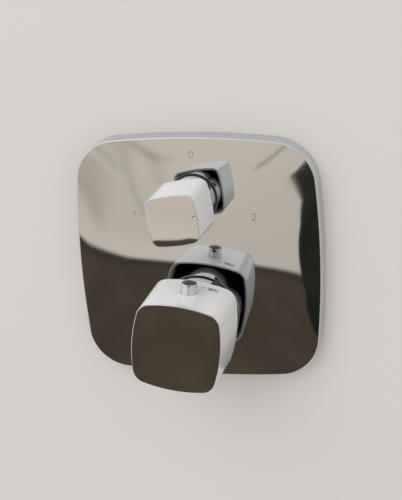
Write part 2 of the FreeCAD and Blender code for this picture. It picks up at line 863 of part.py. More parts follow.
def make_regulator(pin_front):
    bore_r = piston_r + running
    front_seat = piston_front - seat_gap
    rear_seat = piston_front + piston_length + seat_gap
    wall_back = chamber_end + regulator_wall
    barrel = disc(thermo_seat, regulator_end, regulator_r)
    hollow = [disc(thermo_seat - MORE, chamber_end, tail_r + running),
              disc(chamber_end - MORE, wall_back + MORE, pin_r + running),
              disc(wall_back, front_seat, wet_chamber_r),
              disc(front_seat, regulator_end + MORE, bore_r)]
    cold_slot = (front_seat, front_seat + slot_length)
    hot_slot = (rear_seat - slot_length, rear_seat)
    hollow += window_row(*cold_slot) + window_row(*hot_slot)
    screens = []
    for low, high in (cold_slot, hot_slot):
        middle = (low + high) / 2
        y0, y1 = middle - screen_width / 2, middle + screen_width / 2
        hollow.append(ring(y0, y1, regulator_r + MORE, regulator_r - groove_depth))
        band = ring(y0, y1, regulator_r, regulator_r - screen_wall)
        hole = rod(Vector(regulator_r - MORE, middle, 0), Vector(regulator_r + MORE, middle, 0),
                   screen_hole_r)
        screens.append(on_thermo(cut(band, spread(hole, screen_hole_count))))
    ring_floor = regulator_r - 2 * o_ring_r + running
    seals_y = (wall_back, port_y, regulator_end - 2 * o_ring_r)
    hollow += [groove(y, ring_floor, regulator_r + MORE) for y in seals_y]
    save("regulator_housing", [on_thermo(cut(barrel, hollow))])
    save("regulator_seals", [on_thermo(o_ring(y, ring_floor)) for y in seals_y])
    save("regulator_screens", screens)

    piston_back = piston_front + piston_length
    web_front = port_y - piston_web / 2
    web = disc(web_front, web_front + piston_web, piston_r - piston_wall / 2)
    flow = disc(web_front - MORE, web_front + piston_web + MORE, flow_hole_r, flow_hole_at)
    piston = fuse([ring(piston_front, piston_back, piston_r, piston_r - piston_wall), web])
    holes = [disc(web_front - MORE, web_front + piston_web + MORE, wax_r + running)]
    save("regulating_piston", [on_thermo(cut(piston, holes + spread(flow, flow_hole_count)))])

    nose_front = wall_back + wax_gap
    wax = fuse([disc(nose_front, web_front, wax_nose_r),
                disc(web_front - wax_flange, web_front, wax_flange_r),
                disc(web_front, wax_end, wax_r)])
    pin_hole = disc(nose_front - MORE, pin_front + pin_length + pin_spare, pin_r + running)
    save("wax_element", [on_thermo(wax.cut(pin_hole))])

    inner = basket_r - basket_wall
    basket = fuse([ring(rear_seat, regulator_end, bore_r - core_gap, wet_chamber_r),
                   ring(regulator_end - basket_wall, regulator_end, bore_r - core_gap, inner),
                   ring(regulator_end - MORE, basket_end, basket_r, inner),
                   disc(basket_end - basket_wall, basket_end, basket_r)])
    window = block(0, basket_r + MORE, regulator_end + MORE, basket_end - 2 * basket_wall,
                   -slot_width / 2, slot_width / 2)
    save("mixing_basket", [on_thermo(cut(basket, spread(window, basket_window_count)))])
    shape = spring(Vector(0, web_front + piston_web, 0), Vector(0, basket_end - basket_wall, 0),
                   return_r, return_wire_r, return_coils)
    save("return_spring", [on_thermo(shape)])


# --- Diverter cartridge, drawn about the origin ---


def port_places():
    """The inlet port and the two outlet ports under the ceramic discs, as x and z."""
    angles = [math.radians(angle) for angle in (-90, 150, 30)]
    return [(port_at * math.cos(angle), port_at * math.sin(angle)) for angle in angles]


def make_diverter_head():
    neck = disc(diverter_neck_front, diverter_seat, diverter_neck_r)
    flange = disc(diverter_seat - diverter_flange, diverter_seat, diverter_thread_r - 2 * core_gap)
    barrel = disc(diverter_seat, diverter_floor - core_gap, diverter_barrel_r)
    seal_y = (diverter_seat + disc_chamber_front) / 2
    ring_floor = diverter_barrel_r - 2 * o_ring_r + running
    hollow = [disc(diverter_neck_front - MORE, diverter_collar_y + MORE, diverter_spindle_r + running),
              disc(diverter_collar_y - core_gap, disc_chamber_front + MORE, diverter_collar_r + core_gap),
              disc(disc_chamber_front, diverter_floor, disc_chamber_r),
              groove(seal_y, ring_floor, diverter_barrel_r + MORE)]
    save("diverter_headpiece", [on_diverter(cut(fuse([neck, flange, barrel]), hollow))])
    save("diverter_seal", [on_diverter(o_ring(seal_y, ring_floor))])

    thread_back = diverter_seat - diverter_flange
    nut = fuse([hexagon(boss_face - nut_head, boss_face, diverter_nut_flats, diverter_neck_r + core_gap),
                ring(boss_face, thread_back, diverter_thread_r - core_gap, diverter_neck_r + core_gap)])
    save("diverter_nut", [on_diverter(nut)])


def make_diverter_spindle():
    tip = diverter_knob.seat + spline_gap
    spline = disc(tip, diverter_neck_front - MORE / 2, diverter_spindle_r - spline_step)
    tang_front = disc_chamber_front + MORE
    journal = disc(diverter_neck_front - MORE / 2, tang_front, diverter_spindle_r)
    collar = disc(diverter_collar_y, diverter_collar_y + diverter_collar, diverter_collar_r)
    tang = block(-diverter_spindle_r, diverter_spindle_r, tang_front - MORE, tang_front + tang_length,
                 -tang_width / 2, tang_width / 2)
    tapped = disc(tip - MORE, tip + knob_screw_reach + MORE, knob_screw_r + running)
    seal_y = (diverter_neck_front + holder_front + holder_length) / 2
    neck_r = diverter_spindle_r - 2 * o_ring_r + running
    seat = ring(seal_y - o_ring_r, seal_y + o_ring_r, diverter_spindle_r + MORE, neck_r)
    tang = tang.common(disc(tang_front - MORE, tang_front + tang_length, diverter_spindle_r))
    spindle = cut(fuse([spline, journal, collar, tang]), [tapped, seat])
    save("diverter_spindle", [on_diverter(spindle, True)])
    save("diverter_spindle_seal", [on_diverter(o_ring(seal_y, neck_r), True)])
    return tang_front


def make_discs(tang_front):
    driver_back = tang_front + driver_wall
    driver = disc(tang_front, driver_back, disc_r - core_gap)
    pin_at = disc_r - driver_pin_edge
    pins = spread(disc(driver_back - MORE, driver_back + driver_pin, driver_pin_r, pin_at), 2)
    room = block(-diverter_spindle_r - running, diverter_spindle_r + running,
                 tang_front - MORE, tang_front + tang_length + core_gap,
                 -tang_width / 2 - running, tang_width / 2 + running)
    save("disc_driver", [on_diverter(cut(fuse([driver] + pins), [room]), True)])

    moving_back = driver_back + disc_wall
    moving = disc(driver_back, moving_back, disc_r)
    pin_holes = spread(disc(driver_back - MORE, driver_back + driver_pin + core_gap,
                            driver_pin_r + core_gap, pin_at), 2)
    gap = math.radians(60)
    low, high = (port_at * math.sin(-gap / 2), port_at * math.sin(gap / 2))
    channel = block(port_at - port_r, port_at + port_r / 2, moving_back - disc_wall / 2, moving_back + MORE,
                    low - port_r, high + port_r).common(disc(driver_back, moving_back + MORE, disc_r - MORE))
    channel.rotate(Vector(), INTO_WALL, 60)
    save("moving_disc", [on_diverter(cut(moving, pin_holes + [channel]), True)])

    fixed_front = moving_back + disc_film
    fixed_back = fixed_front + disc_wall
    ports = [disc(fixed_front - MORE, diverter_floor + MORE, port_r, x, z) for x, z in port_places()]
    save("fixed_disc", [on_diverter(cut(disc(fixed_front, fixed_back, disc_r), ports))])
    save("disc_seal", [on_diverter(cut(disc(fixed_back, diverter_floor, disc_r), ports))])


# --- Brass body ---


def channels():
    """The drilled water ways behind the cartridges: start, end and radius."""
    (in_x, in_z), (one_x, one_z), (two_x, two_z) = port_places()
    deep = diverter_floor + port_at + MORE
    one_z, two_z = one_z + diverter_z, two_z + diverter_z
    in_z += diverter_z
    relief_z = outlet_end - thread_length - relief_length / 2
    return [
        (Vector(0, mixed_y, thermo_z), Vector(0, mixed_y, in_z), mixed_r),
        (Vector(in_x, diverter_floor, in_z), Vector(in_x, mixed_y, in_z), port_r),
        (Vector(one_x, diverter_floor, one_z), Vector(one_x, deep, one_z), port_r),
        (Vector(one_x, deep, one_z), Vector(one_x / 2, port_y + relief_r / 4, relief_z), port_r),
        (Vector(two_x, diverter_floor, two_z), Vector(two_x, deep, two_z), port_r),
        (Vector(two_x, deep, two_z), Vector(riser_x, riser_y, two_z), port_r),
        (Vector(riser_x, riser_y, two_z), Vector(riser_x, riser_y, -relief_z), port_r),
        (Vector(riser_x, riser_y, -relief_z), Vector(relief_r / 2, port_y + relief_r / 2, -relief_z), port_r),
    ]


def plug_rods():
    """The drillings that are closed from outside: their open end, inner end and radius."""
    mixed, riser, foot = channels()[0], channels()[6], channels()[6][1]
    return [
        (mixed[1] + UP * (mixed_r + plug_length), mixed[1] + UP * mixed_r, mixed_r),
        (riser[0] + UP * (port_r + plug_length), riser[0] + UP * port_r, port_r),
        (foot - UP * (port_r + plug_length), foot - UP * port_r, port_r),
    ]


def inlet(side):
    """Cutters for one inlet, hot on the left (-1) and cold on the right (+1)."""
    def at(x, y):
        return Vector(side * x, y, thermo_z)

    stop = inlet_end - thread_length
    floor = stop - check_bore
    feed_y = port_y - side * feed_offset
    return [rod(at(inlet_end + MORE, port_y), at(stop, port_y), thread_r),
            rod(at(stop + MORE, port_y), at(floor, port_y), check_bore_r),
            rod(at(floor + MORE, feed_y), at(thermo_bore_r - 2 * MORE, feed_y), feed_r)]


def outlet(side):
    """Cutters for one outlet, up (+1) or down (-1)."""
    def at(z):
        return Vector(0, port_y, side * z)

    stop = outlet_end - thread_length
    return [rod(at(outlet_end + MORE), at(stop), thread_r),
            rod(at(stop + MORE), at(stop - relief_length), relief_r)]


def lug_places():
    return [(x, z) for x in (-lug_x, lug_x) for z in (-lug_z, lug_z)]


def make_body():
    flange = block(-flange_half_x, flange_half_x, flange_face, flange_face + flange_wall,
                   -flange_half_z, flange_half_z)
    corners = [edge for edge in flange.Edges if max(edge.BoundBox.XLength, edge.BoundBox.ZLength) < 1e-4]
    solids = [flange.makeFillet(flange_corner, corners)]
    solids.append(disc(boss_face, body_back, thermo_barrel_r, 0, thermo_z))
    solids.append(disc(boss_face, diverter_body_back, diverter_body_r, 0, diverter_z))
    solids.append(disc(diverter_body_back - MORE, body_back, lug_bridge_r, 0, lug_z - lug_r))
    solids.append(rod(Vector(-inlet_end, port_y, thermo_z), Vector(inlet_end, port_y, thermo_z), port_boss_r))
    solids.append(rod(Vector(0, port_y, diverter_z), Vector(0, port_y, outlet_end), port_boss_r))
    solids.append(rod(Vector(0, port_y, thermo_z), Vector(0, port_y, -outlet_end), port_boss_r))
    for start, end, r in channels() + plug_rods():
        solids.append(rod(start, end, r + runner_wall))
    for start, end, r in channels()[4:7]:
        solids.append(Part.makeSphere(r + runner_wall, end))
    for z in (-lug_z, lug_z):
        solids.append(block(-lug_x, lug_x, body_back - lug_wall, body_back, z - lug_r, z + lug_r))
    for x, z in lug_places():
        solids.append(disc(body_back - lug_wall, body_back, lug_r, x, z))

    cutters = [disc(boss_face - MORE, thermo_seat, thermo_thread_r, 0, thermo_z),
               disc(thermo_seat - MORE, regulator_end, thermo_bore_r, 0, thermo_z),
               disc(regulator_end - MORE, mixed_y, basket_r + core_gap, 0, thermo_z),
               disc(boss_face - MORE, diverter_seat, diverter_thread_r, 0, diverter_z),
               disc(diverter_seat - MORE, diverter_floor, diverter_bore_r, 0, diverter_z)]
    cutters += inlet(-1) + inlet(1) + outlet(-1) + outlet(1)
    cutters += [rod(start, end, r) for start, end, r in channels()]
    cutters += [Part.makeSphere(r, end) for start, end, r in channels()[4:7]]
    cutters += [rod(start, end, r) for start, end, r in plug_rods()]
    cutters += [disc(body_back - lug_wall - MORE, body_back + MORE, lug_hole_r, x, z)
                for x, z in lug_places()]
    cutters += [disc(flange_face - MORE, flange_face + pillar_stud + MORE, pillar_stud_r + running, x, z)
                for x, z in pillar_places()]
    save("valve_body", [cut(fuse(solids), cutters)])
    save("passage_plugs", [rod(start, end, r) for start, end, r in plug_rods()])


# --- Check valves and strainers ---


def make_check_valve(side, name):
    """Built along X: water comes in at the outer end and pushes the poppet inwards."""
    def at(x):
        return Vector(side * x, port_y, thermo_z)

    mouth = inlet_end - thread_length
    outer = mouth - strainer_length - check_gap * 2
    inner = outer - check_length
    r = check_bore_r - check_gap
    ring_floor = r - 2 * o_ring_r + running
    seal_x = outer - 2 * check_seat
    seat_back = outer - check_seat
    spider_back = inner + MORE + poppet_travel
    bore_r = r - check_wall - o_ring_r
    holes = [rod(at(outer + MORE), at(seat_back - MORE), check_seat_r),
             rod(at(seat_back), at(spider_back + spider_wall), bore_r),
             rod(at(spider_back), at(inner - MORE), bore_r),
             rod(at(seat_back), at(inner - MORE), poppet_stem_r + running * 2)]
    housing = rod(at(outer), at(inner), r)
    flow_at = (poppet_stem_r + bore_r) / 2
    for k in range(4):
        angle = math.radians(90 * k + 45)
        shift = Vector(0, flow_at * math.cos(angle), flow_at * math.sin(angle))
        holes.append(rod(at(seat_back - MORE) + shift, at(inner - MORE) + shift, poppet_stem_r))
    seal_cut = rod(at(seal_x + o_ring_r), at(seal_x - o_ring_r), r + MORE)
    seal_cut = seal_cut.cut(rod(at(seal_x + o_ring_r + MORE), at(seal_x - o_ring_r - MORE), ring_floor))
    save(f"{name}_check_valve", [cut(housing, holes + [seal_cut])])

    head_front = seat_back - poppet_gap
    head_back = head_front - poppet_head
    stem_end = inner + poppet_travel + MORE
    poppet = fuse([rod(at(head_front), at(head_back), bore_r - poppet_clear),
                   rod(at(head_back), at(stem_end), poppet_stem_r)])
    save(f"{name}_check_poppet", [poppet])
    coil_shape = spring(at(spider_back + spider_wall), at(head_back), check_spring_r, check_wire_r,
                        check_coils)
    save(f"{name}_check_spring", [coil_shape])

    rim = rod(at(mouth), at(outer + check_gap * 2), r)
    rim = rim.cut(rod(at(mouth + MORE), at(outer + check_gap * 2 + strainer_mesh), r - check_wall))
    holes = []
    for row in range(-strainer_rows, strainer_rows + 1):
        for k in range(-strainer_rows, strainer_rows + 1):
            spot = Vector(0, strainer_pitch * (k + (row % 2) / 2), strainer_pitch * row * math.sqrt(0.75))
            if spot.Length < r - check_wall - strainer_hole_r:
                holes.append(rod(at(mouth + MORE) + spot, at(outer - MORE) + spot, strainer_hole_r))
    save(f"{name}_strainer", [cut(rim, holes)])
    return Part.makeTorus(ring_floor + o_ring_r, o_ring_r, at(seal_x), RIGHT)


os.makedirs("parts", exist_ok=True)
make_plate()
make_carrier()
make_sleeves()
make_thermo_knob()
make_button()
make_diverter_knob()
make_thermo_head()
make_thermo_spindle()
make_regulator(make_adjusting_nut())
make_diverter_head()
make_discs(make_diverter_spindle())
make_body()
save("check_valve_seals", [make_check_valve(-1, "hot"), make_check_valve(1, "cold")])
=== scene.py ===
"""Looks of the concealed shower valve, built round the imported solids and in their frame.

Lengths are written in millimetres and turned into metres where a mesh is built.
"""

import json
import math

import bpy
from mathutils import Matrix, Vector
from mathutils.geometry import delaunay_2d_cdt


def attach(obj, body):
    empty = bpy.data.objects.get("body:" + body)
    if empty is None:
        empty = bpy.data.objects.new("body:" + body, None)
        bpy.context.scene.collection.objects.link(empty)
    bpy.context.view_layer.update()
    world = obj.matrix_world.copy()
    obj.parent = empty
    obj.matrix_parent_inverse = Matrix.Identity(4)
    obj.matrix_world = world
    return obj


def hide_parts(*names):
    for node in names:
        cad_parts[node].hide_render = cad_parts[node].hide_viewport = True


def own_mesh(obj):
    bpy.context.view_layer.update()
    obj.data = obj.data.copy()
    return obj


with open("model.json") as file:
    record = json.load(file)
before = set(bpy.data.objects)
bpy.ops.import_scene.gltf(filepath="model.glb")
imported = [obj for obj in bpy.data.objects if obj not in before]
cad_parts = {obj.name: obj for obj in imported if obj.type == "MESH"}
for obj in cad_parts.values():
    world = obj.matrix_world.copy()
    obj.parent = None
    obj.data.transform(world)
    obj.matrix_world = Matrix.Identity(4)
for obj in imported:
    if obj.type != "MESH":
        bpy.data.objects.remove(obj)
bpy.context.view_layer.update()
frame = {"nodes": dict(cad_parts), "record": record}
scene = bpy.context.scene
nodes = frame["nodes"]
MM = 0.001

# Sizes of the pieces that are drawn finer here than in the solids
PLATE_HALF = 77.5
PLATE_BULGE = 544.0
PLATE_CORNER = 29.0
PLATE_CORNER_DRAW = 2.6
PLATE_RIM = 11.0
PLATE_INSET = 0.7
PLATE_CROWN = 2.5
PLATE_REACH = 78.5
PLATE_WALL = 1.5
PLATE_EDGE = 0.8
HOLE_EDGE = 0.35
COLLAR = 4.5
THERMO_Z = -34.8
THERMO_TURN = -7.4
THERMO_HOLE_R = 25.0
THERMO_FRONT = -70.0
THERMO_REAR = -29.2
THERMO_FRONT_HALF = 26.8
THERMO_FLARE = 0.8
THERMO_BORDER = 1.7
THERMO_BULGE = 88.0
THERMO_CORNER = 8.6
DIVERTER_Z = 39.8
DIVERTER_TURN = 8.3
DIVERTER_HOLE_R = 14.95
DIVERTER_FRONT = -60.9
DIVERTER_FRONT_HALF = 15.0
DIVERTER_BORDER = 1.5
DIVERTER_BULGE = 82.0
DIVERTER_CORNER = 4.8
FACE_DEPTH = 2.0
FACE_LID = 0.95
FACE_LID_GAP = 0.1
FACE_EDGE = 0.5
FACE_CROWN = 0.1
FACE_POWER = 4
BUTTON_Y = -47.4
BUTTON_BASE_R = 4.85
BUTTON_TOP_R = 4.6
BUTTON_HEIGHT = 5.6
BUTTON_STROKE = 3.0
HEAT_MARKS_Y = -36.7
EDGE_STEPS = 7
HOLE_STEPS = 144
NOISE_LOW, NOISE_HIGH = 0.3, 0.7


# --- Materials ---


class Graph:
    """Short ways to write a node tree."""

    def __init__(self, tree):
        self.tree = tree
        tree.nodes.clear()

    def node(self, kind, **settings):
        made = self.tree.nodes.new(kind)
        for name, value in settings.items():
            setattr(made, name, value)
        return made

    def put(self, socket, value):
        """Links a socket to an output, or sets it. A colour of three channels is made opaque."""
        if isinstance(value, bpy.types.NodeSocket):
            self.tree.links.new(value, socket)
        elif socket.type == "RGBA":
            socket.default_value = (*value, 1.0)
        else:
            socket.default_value = value

    def math(self, operation, *values):
        made = self.node("ShaderNodeMath", operation=operation)
        for socket, value in zip(made.inputs, values):
            self.put(socket, value)
        return made.outputs[0]

    def ramp(self, value, low, high, start=0.0, end=1.0):
        """start below low, end above high and a smooth step between."""
        made = self.node("ShaderNodeMapRange", interpolation_type="SMOOTHSTEP")
        for socket, given in zip(made.inputs, (value, low, high, start, end)):
            self.put(socket, given)
        return made.outputs[0]

    def mix(self, share, first, second):
        """A colour between two. The node's first sockets are for numbers, its last ones for colours."""
        made = self.node("ShaderNodeMix", data_type="RGBA")
        for index, given in ((0, share), (6, first), (7, second)):
            self.put(made.inputs[index], given)
        return made.outputs[2]

    def vector(self, operation, *values):
        made = self.node("ShaderNodeVectorMath", operation=operation)
        sockets = (made.inputs[0], made.inputs[3]) if operation == "SCALE" else made.inputs
        for socket, value in zip(sockets, values):
            self.put(socket, value)
        return made.outputs["Value" if operation in ("DOT_PRODUCT", "LENGTH") else "Vector"]

    def bent(self, value, knots):
        """A line through knots, straight between them and level outside."""
        total = knots[0][1]
        for (a, low), (b, high) in zip(knots, knots[1:]):
            step = self.node("ShaderNodeMapRange")
            for socket, given in zip(step.inputs, (value, a, b, 0.0, high - low)):
                self.put(socket, given)
            total = self.math("ADD", total, step.outputs[0])
        return total

    def noise(self, scale, detail=3.0, roughness=0.5, space="Object"):
        coords = self.node("ShaderNodeTexCoord").outputs[space]
        made = self.node("ShaderNodeTexNoise")
        self.put(made.inputs["Vector"], coords)
        self.put(made.inputs["Scale"], scale)
        self.put(made.inputs["Detail"], detail)
        self.put(made.inputs["Roughness"], roughness)
        return made.outputs["Fac"]


def shade(colour, share):
    return tuple(channel * share for channel in colour)


def finish(name, colour, roughness, metallic=0.0, vary=0.04, grain=900.0, bump=0.0, spread=0.25, **more):
    """A finish whose colour varies a little, and its gloss and relief at the scale of its grain."""
    relief_depth = 0.0001
    material = bpy.data.materials.new(name)
    material.use_nodes = True
    graph = Graph(material.node_tree)
    out = graph.node("ShaderNodeOutputMaterial")
    shader = graph.node("ShaderNodeBsdfPrincipled")
    graph.put(out.inputs["Surface"], shader.outputs[0])
    cloud = graph.noise(scale=60.0)
    fine = graph.noise(scale=grain, detail=4.0, roughness=0.6)
    graph.put(shader.inputs["Base Color"], graph.mix(cloud, shade(colour, 1 - vary), shade(colour, 1 + vary)))
    graph.put(shader.inputs["Roughness"],
              graph.ramp(fine, NOISE_LOW, NOISE_HIGH, roughness * (1 - spread), roughness * (1 + spread)))
    shader.inputs["Metallic"].default_value = metallic
    for socket, value in more.items():
        shader.inputs[socket.replace("_", " ")].default_value = value
    if bump:
        relief = graph.node("ShaderNodeBump")
        relief.inputs["Strength"].default_value = bump
        relief.inputs["Distance"].default_value = relief_depth
        graph.put(relief.inputs["Height"], fine)
        graph.put(shader.inputs["Normal"], relief.outputs[0])
    return material


FINISHES = {
    "chrome_plate": dict(colour=(0.64, 0.645, 0.655), roughness=0.022, metallic=1.0, vary=0.01),
    "chrome_trim": dict(colour=(0.70, 0.69, 0.685), roughness=0.04, metallic=1.0, vary=0.01),
    "white_lacquer": dict(colour=(0.83, 0.828, 0.825), roughness=0.22, vary=0.01,
                          Coat_Weight=0.5, Coat_Roughness=0.10),
    "black_plastic": dict(colour=(0.095, 0.096, 0.094), roughness=0.45, bump=0.15),
    "grey_plastic": dict(colour=(0.30, 0.31, 0.32), roughness=0.5, bump=0.2),
    "acetal": dict(colour=(0.78, 0.77, 0.72), roughness=0.4, bump=0.1),
    "brass": dict(colour=(0.72, 0.53, 0.27), roughness=0.34, metallic=1.0, vary=0.08,
                  grain=1400.0, bump=0.35),
    "steel": dict(colour=(0.56, 0.56, 0.55), roughness=0.28, metallic=1.0, grain=1600.0, bump=0.1),
    "rubber": dict(colour=(0.025, 0.025, 0.026), roughness=0.7, bump=0.2),
    "foam": dict(colour=(0.06, 0.06, 0.062), roughness=0.9, grain=1500.0, bump=0.8),
    "ceramic": dict(colour=(0.84, 0.83, 0.79), roughness=0.3),
    "copper": dict(colour=(0.72, 0.36, 0.22), roughness=0.3, metallic=1.0, vary=0.08),
    "dark_metal": dict(colour=(0.10, 0.10, 0.10), roughness=0.35, metallic=0.6, vary=0.05),
    "mark": dict(colour=(0.27, 0.24, 0.185), roughness=0.5, vary=0.1),
    "knob_mark": dict(colour=(0.075, 0.075, 0.07), roughness=0.5, vary=0.1),
}
looks = {name: finish(name, **settings) for name, settings in FINISHES.items()}
for part in frame["record"]["subparts"]:
    mesh = nodes[part["node"]].data
    mesh.materials.clear()
    mesh.materials.append(looks[part["material_slot"]])


# --- Mesh helpers, in millimetres ---


class Shape:
    """Vertices with their normals, and faces, gathered for one mesh."""

    def __init__(self):
        self.points, self.normals, self.faces = [], [], []

    def loop(self, places, normals):
        """Adds vertices in a row and returns their numbers."""
        start = len(self.points)
        self.points += places
        self.normals += normals
        return list(range(start, len(self.points)))

    def bridge(self, first, second, closed=True):
        """Adds the band of faces between two rows of vertices."""
        count = len(first)
        for k in range(count if closed else count - 1):
            after = (k + 1) % count
            self.faces.append((first[k], first[after], second[after], second[k]))

    def fan(self, loop, centre, normal):
        """Closes a loop with triangles that meet at a centre."""
        self.points.append(centre)
        self.normals.append(normal)
        middle = len(self.points) - 1
        for k in range(len(loop)):
            self.faces.append((loop[k], loop[(k + 1) % len(loop)], middle))

    def build(self, name, look, body, replaced=None, place=Matrix.Identity(4)):
        """The piece that rides a body. Its faces are turned to agree with the vertices' normals."""
        mesh = bpy.data.meshes.new(name)
        mesh.from_pydata([tuple(place @ Vector(p) * MM) for p in self.points], [], self.faces)
        turn = place.to_3x3()
        for face in mesh.polygons:
            face.use_smooth = True
            side = sum((turn @ Vector(self.normals[v]) for v in face.vertices), Vector())
            if face.normal.dot(side) < 0:
                face.flip()
        mesh.normals_split_custom_set_from_vertices([(turn @ Vector(n)).normalized() for n in self.normals])
        mesh.materials.append(looks[look])
        piece = bpy.data.objects.new(name, mesh)
        scene.collection.objects.link(piece)
        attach(piece, body)
        if replaced:
            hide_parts(replaced)
        return piece


def outline(half, bulge, corner, side_steps=36, corner_steps=24):
    """A square with bowed sides and round corners: points and outward normals in x and z."""
    back = bulge - half
    centre = (math.sqrt(2 * (bulge - corner) ** 2 - back ** 2) - back) / 2
    lean = math.atan2(centre, centre + back)
    places = []
    for quarter in range(4):
        turn = Matrix.Rotation(-math.pi / 2 * quarter, 2)
        arcs = ((Vector((0, -back)), bulge, -lean, lean, side_steps),
                (Vector((centre, centre)), corner, lean, math.pi / 2 - lean, corner_steps))
        for middle, r, start, end, steps in arcs:
            for k in range(steps):
                angle = start + (end - start) * k / steps
                heading = Vector((math.sin(angle), math.cos(angle)))
                places.append((turn @ (middle + r * heading), turn @ heading))
    return places


def crown_y(rim, x, z):
    """Where a crowned face lies, over a rim of a given depth. It stands out most in the middle."""
    return -rim - PLATE_CROWN * (1 - (x / PLATE_REACH) ** 2) * (1 - (z / PLATE_REACH) ** 2)


def crown_normal(x, z):
    lean_x = 2 * PLATE_CROWN * x / PLATE_REACH ** 2 * (1 - (z / PLATE_REACH) ** 2)
    lean_z = 2 * PLATE_CROWN * z / PLATE_REACH ** 2 * (1 - (x / PLATE_REACH) ** 2)
    return Vector((lean_x, -1, lean_z)).normalized()


def circle(r, z, steps):
    """Places round a hole on the plate's centre line, clockwise from the top."""
    return [Vector((r * math.sin(2 * math.pi * k / steps), z + r * math.cos(2 * math.pi * k / steps)))
            for k in range(steps)]


def crowned_sheet(shape, rim, edge, holes, side):
    """Triangles between an edge loop and round holes, on the crowned face. side is 1 for the front.

    Returns the vertices of the edge and of each hole.
    """
    # The grid's step and its share of the outline, what counts as one point, and slack for the holes' chords
    step, grid_share, merged, slack = 2.5, 0.975, 1e-6, 0.9995
    flat = [Vector((x, z)) for x, z in edge]
    spans = [list(range(len(flat)))]
    for r, z, steps in holes:
        ring = circle(r, z, steps)
        spans.append(list(range(len(flat), len(flat) + steps)))
        flat += ring
    edges = [(span[k], span[(k + 1) % len(span)]) for span in spans for k in range(len(span))]
    inner = [Vector((x * grid_share, z * grid_share)) for x, z in edge]
    reach = max(x for x, z in inner)
    count = int(2 * reach / step)
    for i in range(count + 1):
        for j in range(count + 1):
            spot = Vector((-reach + 2 * reach * i / count, -reach + 2 * reach * j / count))
            clear = all((spot - Vector((0, z))).length > r + step / 2 for r, z, _ in holes)
            if clear and inside(spot, inner):
                flat.append(spot)
    places, _, faces, origins, _, _ = delaunay_2d_cdt(flat, edges, [], 0, merged)
    ids = shape.loop([Vector((p.x, crown_y(rim, p.x, p.y), p.y)) for p in places],
                     [crown_normal(p.x, p.y) * side for p in places])
    for face in faces:
        middle = sum((places[v] for v in face), Vector((0, 0))) / len(face)
        if all((middle - Vector((0, z))).length > r * slack for r, z, _ in holes):
            shape.faces.append(tuple(ids[v] for v in face))
    found = {}
    for new, olds in enumerate(origins):
        for old in olds:
            found[old] = ids[new]
    return [[found[v] for v in span] for span in spans]


def inside(spot, loop):
    """Whether a spot lies in a convex loop that runs clockwise."""
    for k in range(len(loop)):
        a, b = loop[k - 1], loop[k]
        if (b.x - a.x) * (spot.y - a.y) - (b.y - a.y) * (spot.x - a.x) > 0:
            return False
    return True


# --- Cover plate ---


def make_collar(shape, r, z, front_edge, back_edge):
    """The tube behind a hole in the plate, from a rounded edge at the front to a bare end."""
    ring_at = circle(1.0, 0, HOLE_STEPS)
    before = front_edge
    for k in range(1, EDGE_STEPS + 1):
        angle = math.pi / 2 * k / EDGE_STEPS
        wider = HOLE_EDGE * (1 - math.sin(angle))
        deeper = HOLE_EDGE * (1 - math.cos(angle))
        ring = shape.loop(
            [Vector((u.x * (r + wider), shape.points[v].y + deeper, z + u.y * (r + wider)))
             for u, v in zip(ring_at, front_edge)],
            [Vector((-u.x * math.sin(angle), -math.cos(angle), -u.y * math.sin(angle))) for u in ring_at])
        shape.bridge(before, ring)
        before = ring
    end = crown_y(PLATE_RIM, 0, z) + COLLAR
    bore_end, tube_end = ([Vector((u.x * reach, end, z + u.y * reach)) for u in ring_at]
                          for reach in (r, r + PLATE_WALL))
    to_axis = [Vector((-u.x, 0, -u.y)) for u in ring_at]
    from_axis = [n * -1 for n in to_axis]
    to_wall = [Vector((0, 1, 0))] * HOLE_STEPS
    shape.bridge(before, shape.loop(bore_end, to_axis))
    shape.bridge(shape.loop(bore_end, to_wall), shape.loop(tube_end, to_wall))
    shape.bridge(shape.loop(tube_end, from_axis), shape.loop([shape.points[v] for v in back_edge], from_axis))


